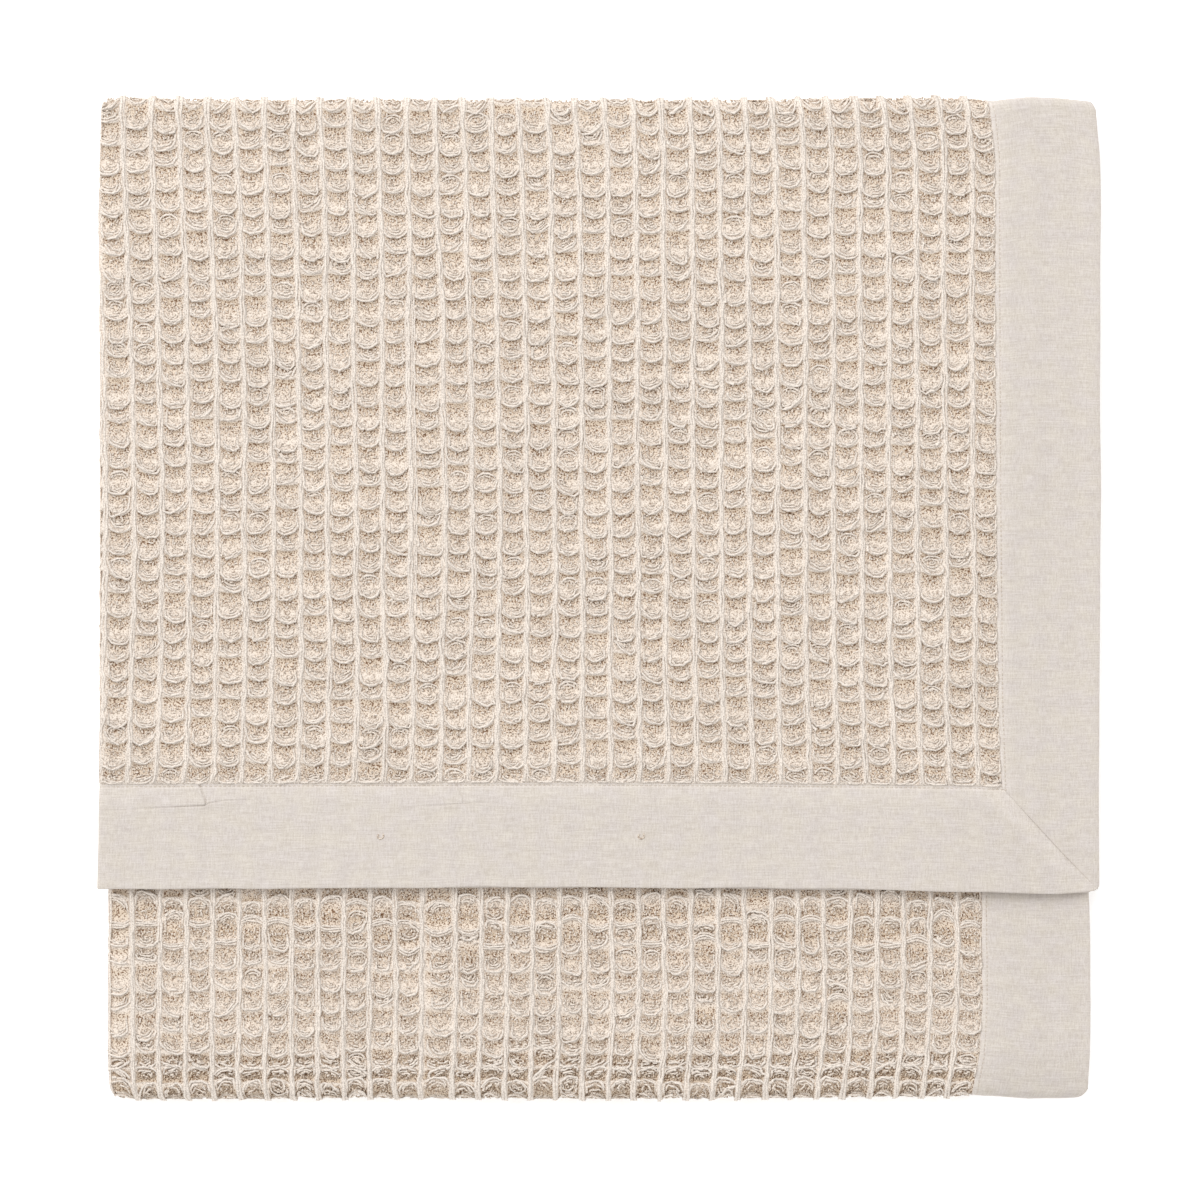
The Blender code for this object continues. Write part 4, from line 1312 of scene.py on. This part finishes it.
def strip_mesh(name, across, along, proud, inside):
    """A closed strip from rings of vertices: one ring for each row of the arrays."""
    stations, around = across.shape
    seam_pull = 0.10 * MM * gentle_noise(across, along, 0.007, 33) * (inside > 0.058)
    outer = proud > OUTER_FACE
    proud = proud + (wrinkled(across, along) + seam_pull) * outer
    places = folded(across, along, proud, bound=True).reshape(-1, 3)
    ids = np.arange(stations * around).reshape(stations, around)
    turned = np.roll(ids, -1, axis=1)
    faces = np.stack([ids[:-1], turned[:-1], turned[1:], ids[1:]], -1).reshape(-1, 4).tolist()
    faces += [ids[0, ::-1].tolist(), ids[-1].tolist()]
    mesh = made_mesh(name, places, faces)
    point_values(mesh, shade=strip_shade(across, along, inside))
    layer = mesh.uv_layers.new(name="cloth")
    corners = np.empty(len(mesh.loops), int)
    mesh.loops.foreach_get("vertex_index", corners)
    flat = np.column_stack([across.ravel(), along.ravel()])[corners]
    layer.data.foreach_set("uv", flat.ravel().astype(np.float32))
    # The two ends have many corners, so they are cut into triangles, and all faces turned out.
    shape = bmesh.new()
    shape.from_mesh(mesh)
    bmesh.ops.triangulate(shape, faces=[face for face in shape.faces if len(face.verts) > 4])
    if shape.calc_volume(signed=True) < 0:
        bmesh.ops.reverse_faces(shape, faces=shape.faces[:])
    shape.to_mesh(mesh)
    shape.free()
    mesh.shade_smooth()
    return mesh


def rounded_corners(across, along):
    """The same places on the cloth, with the tips of its corners rounded off."""
    from_side = HALF_WIDTH - np.abs(across)
    from_hem = np.minimum(along, LENGTH - along)
    deep_side = np.clip(CORNER_RADIUS - from_side, 0, None)
    deep_hem = np.clip(CORNER_RADIUS - from_hem, 0, None)
    deepest = np.maximum(deep_side, deep_hem)
    reach = np.hypot(deep_side, deep_hem)
    shrink = np.where(reach > 0, deepest / np.where(reach > 0, reach, 1), 1)
    across = across - np.sign(across) * deep_side * (1 - shrink)
    inward = np.where(along < LENGTH / 2, 1, -1)
    return across, along + inward * deep_hem * (1 - shrink)


def strip_rings():
    """(inside, proud) of the vertices round a strip's section."""
    inside = column(STRIP_SECTION, "inside") * MM
    proud = column(STRIP_SECTION, "proud") * MM
    return inside, proud


def edge_wave(place, inside, seed):
    """How far the outer edge of a strip strays from its line."""
    return 0.42 * MM * gentle_noise(place, 0 * place, 0.026, seed) * np.clip(1 - inside / 0.02, 0, 1)


def mitre_rings(straight, tip):
    """Places of a strip's rings of vertices, from the mitre to where they run straight across."""
    return [tip + np.minimum(ring.away * MM, ring.share * (straight - tip)) for ring in MITRE_RINGS]


def sunk_at_mitre(from_mitre, inside, welt):
    """The strip dips where it is sewn to the next one, and lies higher on the turned edges."""
    dip = -MITRE_DIP * np.exp(-((from_mitre / (0.9 * MM)) ** 2))
    on_edges = eased(from_mitre / (2.5 * MM)) * eased((TURNED_EDGES - from_mitre) / (6 * MM))
    return dip + welt * on_edges * eased((0.058 - inside) / 0.014) * eased((inside - 0.002) / 0.010)


def sunk_at_seam(place, inside, stitches):
    """The strip slopes to its stitches, and its lip beside the waffle cloth is puckered."""
    slope = -SEAM_SLOPE * np.exp(-np.clip(stitches - inside, 0, None) / SEAM_REACH)
    dip = slope - STITCH_DIP * np.exp(-(((inside - stitches) / (0.55 * MM)) ** 2))
    lip = np.clip((inside - stitches) / MM, 0, 1)
    return dip + LIP_PUCKER * lip * (1 + gentle_noise(place, inside, 0.0045, 51))


def side_strip(half):
    """(across, along, proud, inside) arrays of the strip along a long edge."""
    inside, proud = strip_rings()
    tip = inside + MITRE_GAP
    straight = BINDING_WIDTH + PAST_MITRE
    front = mitre_rings(straight, tip)
    middle = along_stops(straight + 0.006, LENGTH - straight - 0.006, SIDE_STEP)
    rows = [*front, *(np.full_like(inside, stop) for stop in middle)]
    rows += [LENGTH - row for row in reversed(front)]
    along = np.array(rows)
    from_mitre = np.minimum(along, LENGTH - along) - tip
    across = half * (HALF_WIDTH - inside + edge_wave(along, inside, 41 + half))
    sunk = sunk_at_mitre(from_mitre, inside, 0) + sunk_at_seam(along, inside, SIDE_STITCHES)
    proud = proud + sunk * (proud > OUTER_FACE)
    return (*rounded_corners(across, along), proud, inside)


def hem_strip(at_front):
    """(across, along, proud, inside) arrays of the strip along a short edge."""
    inside, proud = strip_rings()
    tip = HALF_WIDTH - inside - MITRE_GAP
    straight = SEAM_ACROSS - PAST_MITRE
    ends = [2 * tip - row for row in mitre_rings(2 * tip - straight, tip)][::-1]
    turn = [LEFT_TURN * step / 4 for step in range(1, 5)]
    near = np.arange(0.014, 0.100, FINE_STEP if at_front else HEM_STEP)
    far = np.arange(0.106, straight - 0.004, HEM_STEP)
    flat = np.concatenate([[LEFT_TURN + 0.003], near, far])
    if at_front:
        for spot, _ in SHORT_CREASES:
            sharp = spot + np.array(BESIDE_CREASE) * MM
            flat = np.sort(np.concatenate([flat[np.abs(flat - spot) > CLEAR_OF_CREASE], sharp]))
    half_a = [*(np.full_like(inside, stop) for stop in [*turn, *flat]), *ends]
    rows = [*(-row for row in reversed(half_a)), np.zeros_like(inside), *half_a]
    across = np.array(rows)
    from_mitre = tip - np.abs(across)
    from_hem = inside - edge_wave(across, inside, 45)
    if at_front:
        outer = proud > OUTER_FACE
        moved, sunk = hem_crease(across, inside)
        aside, short = short_creases(across, inside)
        across = across + aside * outer
        from_hem = from_hem + moved * outer
        proud = proud + np.minimum(sunk, short) * outer
    along = from_hem if at_front else LENGTH - from_hem
    sunk = sunk_at_mitre(from_mitre, inside, MITRE_WELT) + sunk_at_seam(across, inside, HEM_STITCHES)
    proud = proud + sunk * (proud > OUTER_FACE)
    return (*rounded_corners(across, along), proud, inside)


def along_stops(start, end, step):
    """Lengths from start to end, closer together round the folds."""
    stops = set(np.round(np.linspace(start, end, int((end - start) / step)), 5))
    for fold in FOLDS:
        stops |= {round(fold.start + FOLD_ARC * part / 10, 5) for part in range(11)}
    stops = sorted(stops)
    kept = stops[:1]
    for stop in stops[1:]:
        if stop - kept[-1] > 1.2 * MM:
            kept.append(stop)
    return kept


def stitch_tree():
    """Geometry Nodes that lay stitches end to end along seam lines."""
    sizes = {"Pitch": "Float", "Stitch Length": "Float", "Thread Thickness": "Float"}
    tree, given = new_tree("Seam Stitches", "Stitches", Seams="Geometry", **sizes, Thread="Material")
    lines = add_node(tree, "GeometryNodeMeshToCurve", {"Mesh": given["Seams"]})
    apart = {"Curve": lines.outputs[0], "Length": given["Pitch"]}
    points = add_node(tree, "GeometryNodeCurveToPoints", apart, mode="LENGTH")
    thick = given["Thread Thickness"]
    size = add_node(tree, "ShaderNodeCombineXYZ", {"X": thick, "Y": thick, "Z": given["Stitch Length"]})
    bead = add_node(tree, "GeometryNodeMeshIcoSphere", {"Radius": 0.5, "Subdivisions": 1})
    laid = add_node(
        tree,
        "GeometryNodeInstanceOnPoints",
        {
            "Points": points.outputs["Points"],
            "Instance": bead.outputs[0],
            "Rotation": points.outputs["Rotation"],
            "Scale": size.outputs[0],
        },
    )
    return finished_tree(tree, "Stitches", laid.outputs[0], given["Thread"])


KNOTS = ((0.1833, 0.0337), (0.3510, 0.0337))  # where the ends of thread lie, across and along


def thread_knots(yarn):
    """Two ends of thread, knotted through the front hem. Each lies in a small open loop."""
    turn = np.linspace(-0.30 * math.pi, 1.25 * math.pi, 12)
    loop = np.linspace(0.75, 1.25, 12) * 1.9 * MM
    yarns = Yarns()
    for across, along in KNOTS:
        spots = across - loop * np.cos(turn), along - loop * 0.9 * np.sin(turn)
        yarns.lay(*spots, 1.10 * MM + 0 * turn, 0.50 * MM + 0 * turn, 0.5)
    return yarns.made("thread_knots", yarn)


THREAD_PROUD = 0.37 * MM  # how far the stitches lie above the middle of their strip


def seam_lines():
    """(across, along) of the stitched lines along the waffle cloth."""
    side, hem = HALF_WIDTH - SIDE_STITCHES, HEM_STITCHES
    along = np.arange(hem, LENGTH - hem, 3 * MM)
    turn = np.linspace(-4 * MM, 4 * MM, 9)
    across = np.concatenate([np.arange(-side, -5 * MM, 3 * MM), turn, np.arange(5 * MM, side, 3 * MM)])
    return (
        (np.full_like(along, side), along),
        (np.full_like(along, -side), along),
        (across, np.full_like(across, hem)),
        (across, np.full_like(across, LENGTH - hem)),
    )


def seam_mesh(thickness_of_thread):
    """Polylines along the seams, at the height where the thread lies in the strips' dip."""
    places, edges, count = [], [], 0
    for across, along in seam_lines():
        laid = folded(across, along, THREAD_PROUD, bound=True)
        laid[:, 2] = np.maximum(laid[:, 2], thickness_of_thread / 2)
        places.append(laid)
        edges.append(path_edges(count, len(across)))
        count += len(across)
    return made_mesh("seam_stitches", np.concatenate(places), edges=np.concatenate(edges).tolist())


DISTANCE = {"unit": "LENGTH", "subtype": "DISTANCE"}


class ClothColours(bpy.types.PropertyGroup):
    """Colours of the blanket's cloths, as sRGB hex"""

    yarn: StringProperty(name="Yarn", description="Cotton yarn on the ridges", default="F1E6DB")
    # Pit is painted shade: the yarn's colour darkened as it looks deep in the pits.
    pit: StringProperty(name="Pit", description="Cotton yarn deep in the pits", default="E0CEB8")
    # Gap is painted shadow: the dark brown of the holes between the yarns.
    gap: StringProperty(name="Gap", description="Open gaps of the weave in the pits", default="866143")
    binding: StringProperty(name="Binding", description="Lighter threads of the binding", default="E1DBD6")
    weft: StringProperty(name="Weft", description="Darker threads of the binding", default="CBC3BC")
    warm: StringProperty(name="Warm", description="Tint of the binding's warmer patches", default="FBF9F4")
    cool: StringProperty(name="Cool", description="Tint of the binding's cooler patches", default="F7F5F5")
    thread: StringProperty(name="Thread", description="Sewing thread", default="D0C4B6")


class ClothSizes(bpy.types.PropertyGroup):
    """Sizes of the waffle weave and of the sewing"""

    cell_width: FloatProperty(
        name="Cell Width", description="From ridge to ridge", default=CELL_WIDTH, **DISTANCE
    )
    cell_length: FloatProperty(
        name="Cell Length", description="From rim to rim", default=CELL_LENGTH, **DISTANCE
    )
    yarn_radius: FloatProperty(
        name="Yarn Radius", description="Half a yarn's thickness", default=0.82 * MM, **DISTANCE
    )
    stitch_pitch: FloatProperty(
        name="Stitch Pitch", description="From stitch to stitch", default=3.0 * MM, **DISTANCE
    )
    stitch_length: FloatProperty(
        name="Stitch Length", description="What shows of a stitch", default=2.1 * MM, **DISTANCE
    )
    thread_thickness: FloatProperty(
        name="Thread Thickness", description="Of the sewing thread", default=0.7 * MM, **DISTANCE
    )
    seed: IntProperty(name="Seed", description="Chance in the waffle's cells", default=7, min=0)


class StageSizes(bpy.types.PropertyGroup):
    """Camera and light"""

    lens: FloatProperty(name="Lens", description="Focal length in mm", default=250.0)
    view_width: FloatProperty(
        name="View Width", description="Width of the picture", default=0.78, **DISTANCE
    )
    sky: FloatProperty(name="Sky", description="Strength of the even light", default=0.83, min=0)
    key: FloatProperty(name="Key", description="Power of the large lamp in watts", default=141.0, min=0)
    floor_glow: FloatProperty(
        name="Floor Glow", description="Light that comes through the floor", default=0.36, min=0
    )
    floor_colour: FloatVectorProperty(
        name="Floor", description="Colour of the floor", default=(0.96, 0.96, 0.96), size=3, subtype="COLOR"
    )


def yarn_start(context, seed_step):
    """(weave, yarn radius, random generator) for one group of yarn pieces."""
    sizes = context.scene.blanket_sizes
    return Weave(sizes), sizes.yarn_radius, np.random.default_rng(sizes.seed + seed_step)


def yarn_material(context):
    """The waffle cloth's material, made at its first use."""
    return bpy.data.materials.get("carded_cotton_yarn") or cotton_yarn(context.scene.blanket_colours)


def strip_material(context):
    """The binding's material, made at its first use."""
    return bpy.data.materials.get("linen_cotton_plain_weave") or union_cloth(context.scene.blanket_colours)


class BLANKET_OT_ground(bpy.types.Operator):
    """Lay the waffle cloth, with its ridges and pits, in its folds"""

    bl_idname = "blanket.ground"
    bl_label = "Waffle Cloth"

    def execute(self, context):
        mesh = ground_mesh(Weave(context.scene.blanket_sizes))
        piece = new_object("waffle_cloth", mesh, yarn_material(context))
        register_piece(piece, "waffle_cotton", "waffle_panel")
        return {"FINISHED"}


class BLANKET_OT_ridges(bpy.types.Operator):
    """Lay the yarns that run along the ridges"""

    bl_idname = "blanket.ridges"
    bl_label = "Ridge Yarns"

    def execute(self, context):
        weave, radius, rng = yarn_start(context, 1)
        yarns = Yarns()
        start, end = CLOTH_START + 1 * MM, CLOTH_END - 1 * MM
        add_ridges(yarns, weave, RIDGES_A, start, ROUND_BACK, radius, rng, 4)
        add_ridges(yarns, weave, RIDGES_B, STRIP_START, STRIP_END, radius, rng, 4)
        add_ridges(yarns, weave, RIDGES_B, STRIP_END, end, radius, rng, 2)
        add_ridges(yarns, weave, CREASE_RIDGES, start, end, radius, rng, 3)
        for begins, ends in ((start, ROUND_BACK), (STRIP_START, BOTTOM_START)):
            add_edge_welt(yarns, weave, begins, ends, radius, rng)
        crease = int((CREASE_ACROSS - FIRST_RIDGE) / weave.width)
        lengths = weave.rim(np.arange(weave.rows), crease)
        creased = np.flatnonzero((lengths > CREASE_STARTS) & (lengths < CREASE_ENDS))
        add_welt(yarns, weave, creased, crease, radius, rng)
        hidden = int((CREASE_ACROSS + FIRST_RIDGE + HALF_B_SHIFT) / weave.width) + 1
        shown = np.flatnonzero((lengths > STRIP_START) & (lengths < MIDDLE_END))
        add_welt(yarns, weave, shown, -hidden, radius, rng)
        register_piece(yarns.made("ridge_yarns", yarn_material(context)), "waffle_cotton")
        return {"FINISHED"}


class BLANKET_OT_floats(bpy.types.Operator):
    """Lay the floats that hang over the rims of the cells"""

    bl_idname = "blanket.floats"
    bl_label = "Float Yarns"

    def execute(self, context):
        weave, radius, rng = yarn_start(context, 2)
        groups = (
            ("floats_front", TOP_PATCHES[:1], 0.13),
            ("floats_back", TOP_PATCHES[1:], 0.13),
            ("floats_strip", (STRIP_PATCH,), 0.12),
            ("floats_crease", CREASE_PATCHES, 0.2),
            ("floats_underside", (UNDER_PATCH,), 0.0),
        )
        for name, patches, arches in groups:
            yarns = Yarns()
            for patch in patches:
                add_floats(yarns, weave, patch, radius, rng)
                add_arches(yarns, weave, patch, radius, rng, arches)
                add_bare_rims(yarns, weave, patch, radius, rng)
            register_piece(yarns.made(name, yarn_material(context)), "waffle_cotton")
        return {"FINISHED"}


class BLANKET_OT_grains(bpy.types.Operator):
    """Scatter the short bits of yarn in the pits of the cells"""

    bl_idname = "blanket.grains"
    bl_label = "Pit Yarns"

    def execute(self, context):
        weave, radius, rng = yarn_start(context, 3)
        for name, patches in (("pit_yarns", TOP_PATCHES), ("pit_yarns_strip", (STRIP_PATCH,))):
            yarns = Yarns()
            for patch in patches:
                add_grains(yarns, weave, patch, radius, rng)
            register_piece(yarns.made(name, yarn_material(context)), "waffle_cotton")
        return {"FINISHED"}


class BLANKET_OT_bindings(bpy.types.Operator):
    """Lay the four mitred strips that bind the cloth"""

    bl_idname = "blanket.bindings"
    bl_label = "Bindings"

    def execute(self, context):
        strips = (
            ("side_strip_a", "binding_side_a", side_strip(HALF_A)),
            ("side_strip_b", "binding_side_b", side_strip(HALF_B)),
            ("hem_strip_front", "binding_hem_front", hem_strip(True)),
            ("hem_strip_back", "binding_hem_back", hem_strip(False)),
        )
        for name, node, arrays in strips:
            piece = new_object(name, strip_mesh(name, *arrays), strip_material(context))
            register_piece(piece, "binding_cloth", node)
        return {"FINISHED"}


class BLANKET_OT_stitches(bpy.types.Operator):
    """Sew the strips down along the waffle cloth"""

    bl_idname = "blanket.stitches"
    bl_label = "Stitches"

    def execute(self, context):
        sizes = context.scene.blanket_sizes
        thread = sewing_thread(context.scene.blanket_colours)
        inputs = {
            "Pitch": sizes.stitch_pitch,
            "Stitch Length": sizes.stitch_length,
            "Thread Thickness": sizes.thread_thickness,
            "Thread": thread,
        }
        mesh = seam_mesh(sizes.thread_thickness)
        piece = through_nodes("seam_stitches", mesh, stitch_tree(), thread, **inputs)
        register_piece(piece, "binding_cloth")
        register_piece(thread_knots(yarn_material(context)), "waffle_cotton")
        return {"FINISHED"}


SKY_COLOUR = (1.0, 0.995, 0.985)
LAMP_SIZE, LAMP_PLACE = 3.6, (-1.7, 2.9, 4.4)
SENSOR_WIDTH = 36  # of the camera, in mm
VIEW_MIDDLE = (0.00063, -0.00148)  # what the camera looks at, straight from above


class BLANKET_OT_stage(bpy.types.Operator):
    """Set the floor, the light and the camera"""

    bl_idname = "blanket.stage"
    bl_label = "Stage"

    def execute(self, context):
        stage = context.scene.blanket_stage
        bpy.ops.mesh.primitive_plane_add(size=12, location=(0, 0, 0))
        floor = context.object
        floor.name = "floor"
        material, _, shader = new_material("white_paper_floor")
        set_values(shader, Base_Color=(*stage.floor_colour, 1), Roughness=0.9)
        set_values(shader, Emission_Color=(1, 1, 1, 1), Emission_Strength=stage.floor_glow)
        floor.data.materials.append(material)
        world = bpy.data.worlds.new("even_light")
        context.scene.world = world
        world.use_nodes = True
        sky = world.node_tree.nodes["Background"]
        set_values(sky, Color=(*SKY_COLOUR, 1), Strength=stage.sky)
        lamp = bpy.data.lights.new("window_lamp", "AREA")
        lamp.energy = stage.key
        lamp.size = LAMP_SIZE
        holder = bpy.data.objects.new("window_lamp", lamp)
        context.scene.collection.objects.link(holder)
        holder.location = LAMP_PLACE
        holder.rotation_euler = (-holder.location).to_track_quat("-Z", "Y").to_euler()
        camera = bpy.data.cameras.new("camera")
        camera.lens = stage.lens
        camera.sensor_width = SENSOR_WIDTH
        camera.clip_end = 50
        eye = bpy.data.objects.new("camera", camera)
        context.scene.collection.objects.link(eye)
        seen_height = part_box("waffle_panel")[1][2] * 0.6
        eye.location = (*VIEW_MIDDLE, seen_height + stage.view_width * stage.lens / SENSOR_WIDTH)
        context.scene.camera = eye
        context.scene.view_settings.view_transform = "Standard"
        return {"FINISHED"}


class BLANKET_PT_panel(bpy.types.Panel):
    """Lists the blanket's sizes, colours and pieces"""

    bl_idname = "BLANKET_PT_panel"
    bl_label = "Waffle Blanket"
    bl_space_type = "VIEW_3D"
    bl_region_type = "UI"
    bl_category = "Blanket"

    def draw(self, context):
        scene = context.scene
        for group in (scene.blanket_sizes, scene.blanket_colours, scene.blanket_stage):
            for name in group.__annotations__:
                self.layout.prop(group, name)
        for maker in PIECES:
            self.layout.operator(maker.bl_idname)


PIECES = (
    BLANKET_OT_ground,
    BLANKET_OT_ridges,
    BLANKET_OT_floats,
    BLANKET_OT_grains,
    BLANKET_OT_bindings,
    BLANKET_OT_stitches,
    BLANKET_OT_stage,
)
GROUPS = (ClothColours, ClothSizes, StageSizes)


def register():
    """Registers the classes, and gives the scene its groups of values."""
    for item in (*GROUPS, *PIECES, BLANKET_PT_panel):
        bpy.utils.register_class(item)
    bpy.types.Scene.blanket_colours = PointerProperty(type=ClothColours)
    bpy.types.Scene.blanket_sizes = PointerProperty(type=ClothSizes)
    bpy.types.Scene.blanket_stage = PointerProperty(type=StageSizes)


def unregister():
    """Takes away what register has added."""
    del bpy.types.Scene.blanket_stage
    del bpy.types.Scene.blanket_sizes
    del bpy.types.Scene.blanket_colours
    for item in reversed((*GROUPS, *PIECES, BLANKET_PT_panel)):
        bpy.utils.unregister_class(item)


def main():
    """Builds all the pieces."""
    register()
    for maker in PIECES:
        group, name = maker.bl_idname.split(".")
        getattr(getattr(bpy.ops, group), name)()


if __name__ == "__main__":
    main()
